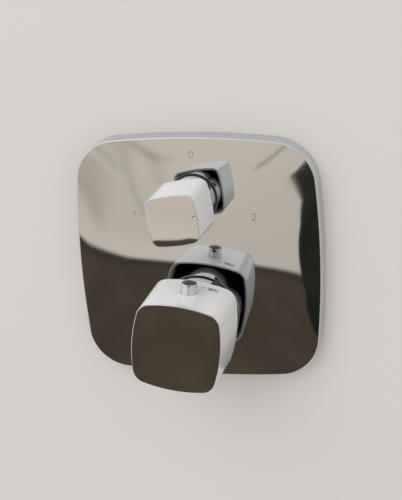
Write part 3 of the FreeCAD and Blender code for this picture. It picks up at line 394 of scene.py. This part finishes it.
def make_plate():
    """The cover plate: crowned front, fine round edge, rim with a draft, and the same again inside."""
    shape = Shape()
    slope = PLATE_INSET / PLATE_RIM
    draft = math.atan(slope)
    front = outline(PLATE_HALF - PLATE_INSET, PLATE_BULGE, PLATE_CORNER - PLATE_CORNER_DRAW)
    start = []
    rings, ring_normals = ([[] for _ in range(EDGE_STEPS + 1)] for _ in range(2))
    for place, heading in front:
        crown = crown_normal(place.x, place.y)
        lean = math.atan2(crown.x * heading.x + crown.z * heading.y, -crown.y)
        at = place - heading * PLATE_EDGE * (1 - math.sin(lean))
        y = crown_y(PLATE_RIM, at.x, at.y)
        start.append((at.x, at.y))
        centre, centre_y = at - heading * PLATE_EDGE * math.sin(lean), y + PLATE_EDGE * math.cos(lean)
        for k in range(EDGE_STEPS + 1):
            angle = lean + (math.pi / 2 - draft - lean) * k / EDGE_STEPS
            spot = centre + heading * PLATE_EDGE * math.sin(angle)
            rings[k].append(Vector((spot.x, centre_y - PLATE_EDGE * math.cos(angle), spot.y)))
            ring_normals[k].append(Vector((heading.x * math.sin(angle), -math.cos(angle),
                                           heading.y * math.sin(angle))))
    bores = ((THERMO_HOLE_R, THERMO_Z), (DIVERTER_HOLE_R, DIVERTER_Z))
    holes = [(r + HOLE_EDGE, z, HOLE_STEPS) for r, z in bores]
    spans = crowned_sheet(shape, PLATE_RIM, start, holes, 1)
    before = spans[0]
    for k in range(1, EDGE_STEPS + 1):
        ring = shape.loop(rings[k], ring_normals[k])
        shape.bridge(before, ring)
        before = ring

    back = outline(PLATE_HALF, PLATE_BULGE, PLATE_CORNER)
    outward = [Vector((h.x * math.cos(draft), -math.sin(draft), h.y * math.cos(draft))) for _, h in back]
    foot = shape.loop([Vector((p.x, 0, p.y)) for p, _ in back], outward)
    shape.bridge(before, foot)
    lip = PLATE_HALF - PLATE_WALL
    inner_back = outline(lip, PLATE_BULGE - PLATE_WALL, PLATE_CORNER - PLATE_WALL)
    wall_side = [Vector((0, 1, 0))] * len(back)
    shape.bridge(shape.loop([Vector((p.x, 0, p.y)) for p, _ in back], wall_side),
                 shape.loop([Vector((p.x, 0, p.y)) for p, _ in inner_back], wall_side))
    inward = [n * -1 for n in outward]
    inner_rim = PLATE_RIM - PLATE_WALL
    inner_front = outline(lip - slope * inner_rim, PLATE_BULGE - PLATE_WALL,
                          PLATE_CORNER - PLATE_WALL - PLATE_CORNER_DRAW * inner_rim / PLATE_RIM)
    inner_holes = [(r + PLATE_WALL, z, HOLE_STEPS) for r, z in bores]
    inner_spans = crowned_sheet(shape, inner_rim, [(p.x, p.y) for p, _ in inner_front], inner_holes, -1)
    shape.bridge(shape.loop([Vector((p.x, 0, p.y)) for p, _ in inner_back], inward),
                 shape.loop([shape.points[v] for v in inner_spans[0]], inward))

    for (r, z), span, inner_span in zip(bores, spans[1:], inner_spans[1:]):
        make_collar(shape, r, z, span, inner_span)
    shape.build("plate_shell", "chrome_plate", "valve", "cover_plate")


# --- Knob faces ---


def knob_place(z, turn):
    """Moves what is drawn upright about the origin to a knob's axis, at its angle."""
    return Matrix.Translation((0, 0, z)) @ Matrix.Rotation(math.radians(turn), 4, Vector((0, -1, 0)))


THERMO_PLACE = knob_place(THERMO_Z, THERMO_TURN)
DIVERTER_PLACE = knob_place(DIVERTER_Z, DIVERTER_TURN)


def make_face(name, node, body, front, half, border, bulge, corner, place):
    """A metal lid as wide as the knob, domed a little towards its round edge, with a plug behind it."""
    rings, edge_steps, side_steps, corner_steps = 24, 8, 24, 16
    shape = Shape()
    rim = outline(half - FACE_EDGE, bulge - FACE_EDGE, corner - FACE_EDGE, side_steps, corner_steps)
    before = None
    for k in range(1, rings + 1):
        share = k / rings
        y = front + FACE_CROWN * share ** FACE_POWER
        lean = FACE_CROWN * FACE_POWER * share ** (FACE_POWER - 1) / half
        loop = shape.loop([Vector((p.x * share, y, p.y * share)) for p, _ in rim],
                          [Vector((h.x * lean, -1, h.y * lean)).normalized() for _, h in rim])
        if before:
            shape.bridge(before, loop)
        else:
            shape.fan(loop, Vector((0, front, 0)), Vector((0, -1, 0)))
        before = loop
    lean = math.atan(FACE_CROWN * FACE_POWER / half)
    for k in range(1, edge_steps + 1):
        angle = lean + (math.pi / 2 - lean) * k / edge_steps
        y = front + FACE_CROWN + FACE_EDGE * (1 - math.cos(angle))
        out = FACE_EDGE * math.sin(angle)
        loop = shape.loop(
            [Vector((p.x + h.x * out, y, p.y + h.y * out)) for p, h in rim],
            [Vector((h.x * math.sin(angle), -math.cos(angle), h.y * math.sin(angle))) for _, h in rim])
        shape.bridge(before, loop)
        before = loop
    lid = outline(half, bulge, corner, side_steps, corner_steps)
    plug = outline(half - border, bulge, corner - border, side_steps, corner_steps)
    lid_back, plug_back = front + FACE_LID, front + FACE_DEPTH
    to_wall = [Vector((0, 1, 0))] * len(lid)

    def level(places, y, normals):
        return shape.loop([Vector((p.x, y, p.y)) for p, _ in places], normals)

    shape.bridge(before, level(lid, lid_back, [Vector((h.x, 0, h.y)) for _, h in lid]))
    shape.bridge(level(lid, lid_back, to_wall), level(plug, lid_back, to_wall))
    outward = [Vector((h.x, 0, h.y)) for _, h in plug]
    shape.bridge(level(plug, lid_back, outward), level(plug, plug_back, outward))
    shape.fan(level(plug, plug_back, to_wall), Vector((0, plug_back, 0)), Vector((0, 1, 0)))
    shape.build(name, "chrome_trim", body, node, place)


# --- Safety button ---


def thermo_half(y):
    """Half the width of the thermostat knob's shell at a depth."""
    shell_front = THERMO_FRONT + FACE_LID + FACE_LID_GAP
    return THERMO_FRONT_HALF + THERMO_FLARE * (y - shell_front) / (THERMO_REAR - shell_front)


def lathe(name, look, body, centre, runs, place):
    """Turned about an upright axis. A smooth run lists (radius, height, normal's angle above level)."""
    steps = 72
    shape = Shape()
    for run in runs:
        before = None
        for r, height, angle in run:
            tilt = math.radians(angle)
            if r == 0:
                shape.fan(before, centre + Vector((0, 0, height)), Vector((0, 0, math.sin(tilt))))
                continue
            ring = [Vector((math.sin(2 * math.pi * k / steps), math.cos(2 * math.pi * k / steps), 0))
                    for k in range(steps)]
            loop = shape.loop([centre + u * r + Vector((0, 0, height)) for u in ring],
                              [u * math.cos(tilt) + Vector((0, 0, math.sin(tilt))) for u in ring])
            if before:
                shape.bridge(before, loop)
            before = loop
    return shape.build(name, look, body, place=place)


def arc_run(r, height, radius, start, end, steps):
    """Part of a run round a rounded edge, from one normal's angle to another."""
    turns = [math.radians(start + (end - start) * k / steps) for k in range(steps + 1)]
    return [(r + radius * math.cos(a), height + radius * math.sin(a), math.degrees(a)) for a in turns]


def make_button():
    """A bright sleeve with a rounded lip round the button, a dark crest in it and a fine seam down it."""
    skin, sunk, lip, lip_r, recess = 0.06, 1.0, 0.15, 0.25, 0.1
    crest_gap, crest_rise, seam_width, seam_start, seam_turn = 0.05, 1.3, 0.16, 0.1, math.radians(14.0)
    centre = Vector((0, BUTTON_Y, thermo_half(BUTTON_Y)))
    draft = math.degrees(math.atan2(BUTTON_BASE_R - BUTTON_TOP_R, BUTTON_HEIGHT))
    base_r, top_r = BUTTON_BASE_R + skin, BUTTON_TOP_R + skin
    edge_z = BUTTON_HEIGHT + lip_r / 2
    inner_r = top_r - lip - lip_r
    rim_z = edge_z + lip_r
    sleeve = [
        [(base_r, -sunk, -90), (0, -sunk, -90)],
        [(base_r, -sunk, draft), (base_r, 0, draft)] + arc_run(top_r - lip_r, edge_z, lip_r, draft, 90, 8)
        + [(inner_r, rim_z, 90)],
        [(inner_r, rim_z, 180), (inner_r, rim_z - recess, 180)],
        [(inner_r, rim_z - recess, 90), (0, rim_z - recess, 90)],
    ]
    sleeve_piece = lathe("button_sleeve", "chrome_trim", "safety_button", centre, sleeve, THERMO_PLACE)
    crest_r = inner_r - crest_gap
    round_r = (crest_r ** 2 + crest_rise ** 2) / (2 * crest_rise)
    lean = math.degrees(math.asin(crest_r / round_r))
    start = rim_z - recess
    crown = arc_run(0, start + crest_rise - round_r, round_r, 90 - lean, 90, 12)
    crown[-1] = (0, start + crest_rise, 90)
    crest = [[(crest_r, start, -90), (0, start, -90)], crown]
    crest_piece = lathe("button_crest", "dark_metal", "safety_button", centre, crest, THERMO_PLACE)

    def on_button(u, v):
        r = base_r - (base_r - top_r) * v / BUTTON_HEIGHT
        turned = seam_turn - math.pi / 2 + u / base_r
        out = Vector((math.cos(turned), math.sin(turned), 0))
        return centre + out * r + Vector((0, 0, v)), out

    seam = Ribbon(on_button, seam_width)
    seam.stroke([(0, seam_start), (0, BUTTON_HEIGHT / 2), (0, BUTTON_HEIGHT)])
    seam.build("button_seam", "dark_metal", "safety_button", "chrome_trim", THERMO_PLACE)


# --- Springs ---


def make_springs():
    """Coils copied from the solids' springs, each riding its body. way leads from the pressed end to the
    other; it is not used.
    """
    for name, node, body, joint, way, travel in (
            ("hot_check_coil", "hot_check_spring", "valve", "hot_check_open", (1, 0, 0), 3.5),
            ("cold_check_coil", "cold_check_spring", "valve", "cold_check_open", (-1, 0, 0), 3.5),
            ("return_coil", "return_spring", "valve", "regulating_piston_travel", (0, 1, 0), 0.5),
            ("button_coil", "button_spring", "thermostat_knob", "safety_button_press",
             THERMO_PLACE.to_3x3() @ Vector((0, 0, -1)), BUTTON_STROKE)):
        piece = bpy.data.objects.new(name, nodes[node].data.copy())
        scene.collection.objects.link(piece)
        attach(piece, body)
        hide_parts(node)
        way = Vector(way)
        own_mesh(piece)


# --- Printed marks ---


class Ribbon:
    """Flat strokes of a steady width, laid on a surface and let into it a little."""

    def __init__(self, surface, width):
        self.surface, self.width = surface, width
        self.shape = Shape()

    def stroke(self, path, closed=False):
        """path is a list of places (u, v), which surface(u, v) turns into a point and a normal."""
        # How far it stands out and goes in, the limit for a mitre's cosine, and a step past an end
        proud, sunk, sharpest, ahead = 0.03, 0.08, 0.5, 1e-3
        path = [Vector(spot) for spot in path]
        rails = [[], []]
        for k, spot in enumerate(path):
            before = path[k - 1] if k or closed else spot
            after = path[(k + 1) % len(path)] if k + 1 < len(path) or closed else spot
            way_in = (spot - before).normalized() if before != spot else (after - spot).normalized()
            way_out = (after - spot).normalized() if after != spot else way_in
            along = (way_in + way_out).normalized()
            reach = self.width / 2 / max(along.dot(way_out), sharpest)
            across = Vector((-along.y, along.x)) * reach
            for rail, place in zip(rails, (spot + across, spot - across)):
                rail.append(self.surface(place.x, place.y))
        for side in (0, 1):
            top = [point + normal * proud for point, normal in rails[side]]
            foot = [point - normal * sunk for point, normal in rails[side]]
            outward = [(rails[side][k][0] - rails[1 - side][k][0]).normalized() for k in range(len(path))]
            self.shape.bridge(self.shape.loop(top, outward), self.shape.loop(foot, outward), closed)
        for lift, way in ((proud, 1), (-sunk, -1)):
            loops = [self.shape.loop([point + normal * lift for point, normal in rail],
                                     [normal * way for _, normal in rail]) for rail in rails]
            self.shape.bridge(*loops, closed)
        if not closed:
            for end in (0, -1):
                heading = (path[end] - path[1 if end == 0 else -2]).normalized()
                outward = (self.surface(*(path[end] + heading * ahead))[0]
                           - self.surface(*path[end])[0]).normalized()
                corners = [rail[end][0] + rail[end][1] * lift for rail, lift in
                           ((rails[0], proud), (rails[1], proud), (rails[1], -sunk), (rails[0], -sunk))]
                self.shape.faces.append(tuple(self.shape.loop(corners, [outward] * 4)))

    def build(self, name, look, body, slot, place=Matrix.Identity(4)):
        piece = self.shape.build(name, look, body, place=place)


def arc(centre, rx, rz, start, end, steps):
    """Places along part of an ellipse, by angle in degrees from the top, clockwise."""
    places = []
    for k in range(steps + 1):
        angle = math.radians(start + (end - start) * k / steps)
        places.append((centre[0] + rx * math.sin(angle), centre[1] + rz * math.cos(angle)))
    return places


def on_plate(u, v):
    return Vector((u, crown_y(PLATE_RIM, u, v), v)), crown_normal(u, v)


def on_thermo_top(u, y):
    half = thermo_half(y)
    reach = math.sqrt(THERMO_BULGE ** 2 - u ** 2)
    return Vector((u, y, half - THERMO_BULGE + reach)), Vector((u, 0, reach)).normalized()


def on_diverter_face(u, v):
    share = max(abs(u), abs(v)) / (DIVERTER_FRONT_HALF - FACE_EDGE)
    return Vector((u, DIVERTER_FRONT + FACE_CROWN * share ** FACE_POWER, v)), Vector((0, -1, 0))


def glyph(kind, x, z, ribbon, size=1.0):
    """A plain figure about a place, 4 mm tall at size 1."""
    def at(path):
        return [(x + u * size, z + v * size) for u, v in path]

    if kind == "0":
        ribbon.stroke(at(arc((0, 0), 1.45, 1.8, 0, 360, 32)[:-1]), closed=True)
    elif kind == "1":
        ribbon.stroke(at([(-0.95, 1.35), (-0.1, 2.05), (0, 2.05), (0, -2.1)]))
    elif kind == "2":
        ribbon.stroke(at(arc((0, 0.95), 1.2, 1.15, -80, 115, 18) + [(-1.2, -2.0), (1.3, -2.0)]))
    elif kind == "3":
        ribbon.stroke(at(arc((0, 0.95), 1.05, 0.95, -70, 180, 16)))
        ribbon.stroke(at(arc((0, -0.95), 1.15, 1.05, 0, 250, 16)))
    elif kind == "8":
        ribbon.stroke(at(arc((0, 0.95), 1.0, 0.95, 0, 360, 24)[:-1]), closed=True)
        ribbon.stroke(at(arc((0, -0.95), 1.15, 1.05, 0, 360, 24)[:-1]), closed=True)
    elif kind == "C":
        ribbon.stroke(at(arc((0, 0), 1.4, 1.9, 50, -230, 24)))
    elif kind == "degree":
        ribbon.stroke(at(arc((0, 1.45), 0.5, 0.5, 0, 360, 16)[:-1]), closed=True)
    elif kind == "dash":
        ribbon.stroke(at([(-1.85, 0), (1.85, 0)]))


def make_marks():
    """Plain digits on the plate, temperature marks on top of the large knob and the small knob's pointer in
    painted shade and highlight.
    """
    digit_width, heat_width, heat_size = 0.5, 0.62, 0.72
    digits = Ribbon(on_plate, digit_width)
    for kind, x, z in (("0", -0.3, 66.5), ("1", -37.9, 28.7), ("2", 36.9, 28.6)):
        glyph(kind, x, z, digits)
    digits.build("plate_digits", "mark", "valve", "chrome_plate")

    heat = Ribbon(on_thermo_top, heat_width)
    for kind, x in (("dash", 6.2), ("3", 9.6), ("8", 11.6), ("degree", 13.2), ("C", 14.9)):
        glyph(kind, x, HEAT_MARKS_Y, heat, heat_size)
    heat.build("temperature_marks", "knob_mark", "thermostat_knob", "white_lacquer", THERMO_PLACE)

    # The pointer: a dark stroke of painted shade for an engraved notch, and a white stroke of painted
    # highlight along its lit edge
    for name, look, width, path in (
            ("pointer_notch_shade", "dark_metal", 0.5, [(12.0, 0.75), (13.1, 1.1), (14.2, 1.4)]),
            ("pointer_highlight", "white_lacquer", 0.45, [(13.0, 0.45), (14.1, 0.55)])):
        pointer = Ribbon(on_diverter_face, width)
        pointer.stroke(path)
        pointer.build(name, look, "diverter_knob", "chrome_trim", DIVERTER_PLACE)


# --- Stage: wall, room, light and camera. Wall and light in metres, camera in millimetres ---


def make_wall():
    """The finished wall, a hair behind the plate's rim. Metal mirrors it in another colour."""
    half, y, vary, relief_depth = 3.0, 0.0003, 0.015, 0.0003
    mesh = bpy.data.meshes.new("wall")
    corners = [(-half, y, -half), (half, y, -half), (half, y, half), (-half, y, half)]
    mesh.from_pydata(corners, [], [(0, 1, 2, 3)])
    wall = bpy.data.objects.new("wall", mesh)
    scene.collection.objects.link(wall)
    material = bpy.data.materials.new("wall_paint")
    material.use_nodes = True
    graph = Graph(material.node_tree)
    paint = graph.node("ShaderNodeBsdfPrincipled")
    colour, mirrored_colour = (0.70, 0.665, 0.625), (0.69, 0.69, 0.69)
    tone = graph.mix(graph.noise(scale=9.0), shade(colour, 1 - vary), shade(colour, 1 + vary))
    mirrored = graph.node("ShaderNodeLightPath").outputs["Is Glossy Ray"]
    graph.put(paint.inputs["Base Color"], graph.mix(mirrored, tone, mirrored_colour))
    paint.inputs["Roughness"].default_value = 0.75
    relief = graph.node("ShaderNodeBump")
    relief.inputs["Strength"].default_value = 0.05
    relief.inputs["Distance"].default_value = relief_depth
    graph.put(relief.inputs["Height"], graph.noise(scale=220.0, detail=5.0))
    graph.put(paint.inputs["Normal"], relief.outputs[0])
    # From behind, the eye sees through the wall to the valve in it.
    seen = graph.node("ShaderNodeLightPath").outputs["Is Camera Ray"]
    behind = graph.node("ShaderNodeNewGeometry").outputs["Backfacing"]
    both = graph.math("MULTIPLY", seen, behind)
    blend = graph.node("ShaderNodeMixShader")
    graph.put(blend.inputs[0], both)
    graph.put(blend.inputs[1], paint.outputs[0])
    graph.put(blend.inputs[2], graph.node("ShaderNodeBsdfTransparent").outputs[0])
    graph.put(graph.node("ShaderNodeOutputMaterial").inputs["Surface"], blend.outputs[0])
    mesh.materials.append(material)


class Room:
    """What the metal mirrors, painted on the world by headings in degrees: side rightwards, rise up."""

    WALL_HIGH, WALL_LOW, WALL_GLOW = (0.775, 0.705, 0.60), (0.675, 0.62, 0.525), (0.83, 0.765, 0.65)
    # Two tones of painted shade for the folds in the wall
    SHADOW, GREY_SHADE = (0.41, 0.37, 0.285), (0.43, 0.405, 0.34)
    CEILING, WINDOW = (0.88, 0.88, 0.88), (1.25, 1.27, 1.32)
    # The floor's second tone is a painted shadow along its edge under the wall
    FLOOR, FLOOR_EDGE, STRIP = (0.086, 0.068, 0.047), (0.050, 0.048, 0.036), (0.025, 0.026, 0.021)
    RIGHT_LOW, RIGHT_HIGH, PATCH = (0.52, 0.50, 0.46), (0.50, 0.52, 0.55), (0.050, 0.038, 0.034)
    # Lines through headings: (side, rise) for the floor's edge, (rise, side) for the dark strip's left edge
    FLOOR_LINE = ((-31.0, -15.5), (-27.5, -17.3), (-23.0, -18.3), (-16.0, -19.0), (-9.0, -19.2),
                  (-3.0, -19.9))
    STRIP_LINE = ((-24.0, -5.0), (-21.0, -3.8), (-16.5, -4.4), (-15.0, -5.1), (-12.0, -8.0))
    STRIP_TOP = dict(slope=-0.3, side=-7.0, rise=-12.75)
    # Painted shade in soft folds of the wall: path of headings, half width, depth and colour
    FOLD_SHADES = (
        (((-19.4, -8.0), (-18.5, -7.8), (-17.9, -8.2)), 0.6, 0.5, SHADOW),
        (((-17.7, -8.5), (-17.7, -9.4), (-18.1, -10.7)), 0.55, 0.28, GREY_SHADE),
        (((-17.6, -8.4), (-16.6, -8.1)), 0.4, 0.25, GREY_SHADE),
        (((-19.6, -8.9), (-20.3, -10.5), (-20.6, -12.3), (-20.4, -14.2)), 0.42, 0.36, GREY_SHADE),
        (((-20.9, -10.0), (-21.2, -10.7)), 0.32, 0.4, GREY_SHADE),
        (((-22.9, -11.6), (-24.6, -13.5)), 0.9, 0.42, SHADOW),
        (((-25.2, -14.2), (-25.6, -16.0)), 0.8, 0.42, SHADOW),
        (((-10.1, -10.25), (-9.6, -10.15)), 0.28, 0.8, GREY_SHADE),
    )
    # Soft borders: the headings where the next zone begins to show and where it alone does
    WALL_HIGH_RISE = (-20.0, -5.0)
    GLOW_ABOVE_FLOOR, GLOW_SIDE, GLOW_SHARE = (3.0, 0.8), (-10.0, -15.0), 0.5
    FLOOR_EDGE_BORDER, WALL_BORDER = (-1.3, -0.2), (-0.35, 0.15)
    STRIP_LEFT_BORDER, STRIP_TOP_BORDER = (-0.1, 0.1), (0.15, -0.1)
    RIGHT_LOW_SIDE, RIGHT_HIGH_RISE = (11.0, 14.5), (-11.0, -8.0)
    RIGHT_SIDE, FAR_RIGHT_SIDE = (2.0, 8.0), (24.0, 34.0)
    LEFT_WINDOW_RISE, LEFT_WINDOW_SHARE, LEFT_SIDE = (-26.0, -22.5), 0.68, (-30.5, -36.0)
    WINDOW_SIDE, CEILING_RISE = (-10.0, -32.0), (-4.0, 18.0)
    # A soft dark patch high on the right: ends and half width of its parts, and how deep its border lies
    PATCH_PARTS = (((10.0, 22.0), (12.0, 20.0), 3.4), ((12.5, 19.0), (15.5, 9.0), 6.0))
    PATCH_BORDER = (0.30, 0.45)

    def __init__(self, graph):
        self.graph = graph
        split = graph.node("ShaderNodeSeparateXYZ")
        graph.put(split.inputs[0], graph.node("ShaderNodeTexCoord").outputs["Generated"])
        x, y, z = split.outputs
        degree = 180 / math.pi
        self.rise = graph.math("MULTIPLY", graph.math("ARCSINE", z), degree)
        ahead = graph.math("MULTIPLY", y, -1.0)
        self.side = graph.math("MULTIPLY", graph.math("ARCTAN2", x, ahead), degree)
        join = graph.node("ShaderNodeCombineXYZ")
        graph.put(join.inputs[0], self.side)
        graph.put(join.inputs[1], self.rise)
        self.heading = join.outputs[0]
        self.blur = graph.ramp(graph.noise(scale=14.0, detail=2.0, space="Generated"), NOISE_LOW, NOISE_HIGH)

    def crease(self, start, end, width):
        """How deep a heading lies in a soft line between two headings: 1 on it, 0 away from it."""
        graph = self.graph
        start, end = Vector((*start, 0)), Vector((*end, 0))
        along = end - start
        offset = graph.vector("SUBTRACT", self.heading, start)
        share = graph.vector("DOT_PRODUCT", offset, along / along.length_squared)
        share = graph.math("MINIMUM", graph.math("MAXIMUM", share, 0.0), 1.0)
        apart = graph.vector("LENGTH", graph.vector("SUBTRACT", offset, graph.vector("SCALE", along, share)))
        squared = graph.math("POWER", graph.math("DIVIDE", apart, width), 2.0)
        return graph.math("EXPONENT", graph.math("MULTIPLY", squared, -1.0))

    def wall(self, above_floor):
        """The pale wall with painted shade in its folds, and a glow low on its left."""
        graph = self.graph
        wall = graph.mix(graph.ramp(self.rise, *self.WALL_HIGH_RISE), self.WALL_LOW, self.WALL_HIGH)
        for path, width, depth, colour in self.FOLD_SHADES:
            deep = 0.0
            for start, end in zip(path, path[1:]):
                deep = graph.math("MAXIMUM", deep, self.crease(start, end, width))
            wall = graph.mix(graph.math("MULTIPLY", deep, depth), wall, colour)
        glow = graph.math("MULTIPLY", graph.ramp(above_floor, *self.GLOW_ABOVE_FLOOR),
                          graph.ramp(self.side, *self.GLOW_SIDE, 0.0, self.GLOW_SHARE))
        return graph.mix(glow, wall, self.WALL_GLOW)

    def mottled(self, colour, darkest, lightest=1.1):
        return self.graph.mix(self.blur, shade(colour, darkest), shade(colour, lightest))

    def strip(self, under):
        """A dark strip at the right of what the plate mirrors, with a slanted top."""
        graph, slant = self.graph, self.STRIP_TOP
        past_left = graph.math("SUBTRACT", self.side, graph.bent(self.rise, self.STRIP_LINE))
        run = graph.math("SUBTRACT", self.side, slant["side"])
        top = graph.math("ADD", graph.math("MULTIPLY", run, slant["slope"]), slant["rise"])
        past_top = graph.math("SUBTRACT", self.rise, top)
        dark = graph.math("MULTIPLY", graph.ramp(past_left, *self.STRIP_LEFT_BORDER),
                          graph.ramp(past_top, *self.STRIP_TOP_BORDER))
        return graph.mix(dark, under, self.mottled(self.STRIP, darkest=0.45))

    def view(self):
        """The whole room: wall over floor in the middle, then what is to its right, to its left and above."""
        graph, side, rise = self.graph, self.side, self.rise
        above_floor = graph.math("SUBTRACT", rise, graph.bent(side, self.FLOOR_LINE))
        # Just below the wall the floor darkens into a painted shadow line
        floor = graph.mix(graph.ramp(above_floor, *self.FLOOR_EDGE_BORDER),
                          self.mottled(self.FLOOR, darkest=0.86), self.FLOOR_EDGE)
        seen = graph.mix(graph.ramp(above_floor, *self.WALL_BORDER), floor, self.wall(above_floor))
        seen = self.strip(seen)
        right = graph.mix(graph.ramp(side, *self.RIGHT_LOW_SIDE), self.STRIP, self.RIGHT_LOW)
        right = graph.mix(graph.ramp(rise, *self.RIGHT_HIGH_RISE), right, self.RIGHT_HIGH)
        seen = graph.mix(graph.ramp(side, *self.RIGHT_SIDE), seen, right)
        seen = graph.mix(graph.ramp(side, *self.FAR_RIGHT_SIDE), seen, self.WALL_LOW)
        left = graph.mix(graph.ramp(rise, *self.LEFT_WINDOW_RISE),
                         self.FLOOR, shade(self.WINDOW, self.LEFT_WINDOW_SHARE))
        seen = graph.mix(graph.ramp(side, *self.LEFT_SIDE), seen, left)
        above = graph.mix(graph.ramp(side, *self.WINDOW_SIDE), self.CEILING, self.WINDOW)
        seen = graph.mix(graph.ramp(rise, *self.CEILING_RISE), seen, above)
        patch = graph.math("MAXIMUM", *(self.crease(*part) for part in self.PATCH_PARTS))
        return graph.mix(graph.ramp(patch, *self.PATCH_BORDER), seen, self.PATCH)


def make_world():
    """The room for what metal mirrors, a pale backdrop for the camera and even light for everything else."""
    backdrop, white = (0.84, 0.83, 0.81), (1.0, 1.0, 1.0)
    light_rise, low_light, high_light = (-40.0, 60.0), 0.69, 0.95
    world = bpy.data.worlds.new("room")
    scene.world = world
    world.use_nodes = True
    graph = Graph(world.node_tree)
    room = Room(graph)
    path = graph.node("ShaderNodeLightPath")
    on_camera = path.outputs["Is Camera Ray"]
    glossy = graph.node("ShaderNodeBackground")
    graph.put(glossy.inputs[0], room.view())
    even = graph.node("ShaderNodeBackground")
    graph.put(even.inputs[0], graph.mix(on_camera, white, backdrop))
    overhead = graph.ramp(room.rise, *light_rise, low_light, high_light)
    rest = graph.math("SUBTRACT", 1.0, overhead)
    graph.put(even.inputs[1], graph.math("ADD", overhead, graph.math("MULTIPLY", on_camera, rest)))
    blend = graph.node("ShaderNodeMixShader")
    graph.put(blend.inputs[0], path.outputs["Is Glossy Ray"])
    graph.put(blend.inputs[1], even.outputs[0])
    graph.put(blend.inputs[2], glossy.outputs[0])
    graph.put(graph.node("ShaderNodeOutputWorld").inputs["Surface"], blend.outputs[0])


def make_lamp(name, place, target, size, power):
    """A round lamp that metal doesn't mirror."""
    lamp = bpy.data.lights.new(name, "AREA")
    lamp.shape = "DISK"
    lamp.size = size
    lamp.energy = power
    made = bpy.data.objects.new(name, lamp)
    scene.collection.objects.link(made)
    made.location = place
    made.rotation_euler = (Vector(target) - Vector(place)).to_track_quat("-Z", "Y").to_euler()
    made.visible_glossy = False


def make_camera():
    """The photograph's camera. Its focal length is in pixels of the photograph's height."""
    azimuth, elevation, roll = (math.radians(angle) for angle in (15.12, 18.30, -3.06))
    distance, target = 714.5, Vector((-0.40, 0, 2.42))
    focal, frame_height, sensor = 1144.7, 500, 24.0
    away = Vector((math.sin(azimuth) * math.cos(elevation), -math.cos(azimuth) * math.cos(elevation),
                   math.sin(elevation)))
    level = Vector((0, 0, 1)).cross(away).normalized()
    upright = away.cross(level)
    right = level * math.cos(roll) + upright * math.sin(roll)
    up = upright * math.cos(roll) - level * math.sin(roll)
    camera = bpy.data.cameras.new("camera")
    camera.sensor_fit = "VERTICAL"
    camera.sensor_height = sensor
    camera.lens = sensor * focal / frame_height
    camera.clip_start = 0.01
    made = bpy.data.objects.new("camera", camera)
    scene.collection.objects.link(made)
    pose = Matrix((right, up, away)).transposed().to_4x4()
    pose.translation = (target + away * distance) * MM
    made.matrix_world = pose
    scene.camera = made


make_plate()
make_face("thermostat_cap", "thermostat_knob_face", "thermostat_knob", THERMO_FRONT, THERMO_FRONT_HALF,
          THERMO_BORDER, THERMO_BULGE, THERMO_CORNER, THERMO_PLACE)
make_face("diverter_cap", "diverter_knob_face", "diverter_knob", DIVERTER_FRONT, DIVERTER_FRONT_HALF,
          DIVERTER_BORDER, DIVERTER_BULGE, DIVERTER_CORNER, DIVERTER_PLACE)
make_button()
make_springs()
make_marks()
make_wall()
make_world()
make_lamp("window", place=(-0.9, -1.9, 1.5), target=(0, 0, 0), size=2.0, power=17.0)
make_camera()
scene.view_settings.view_transform = "Standard"
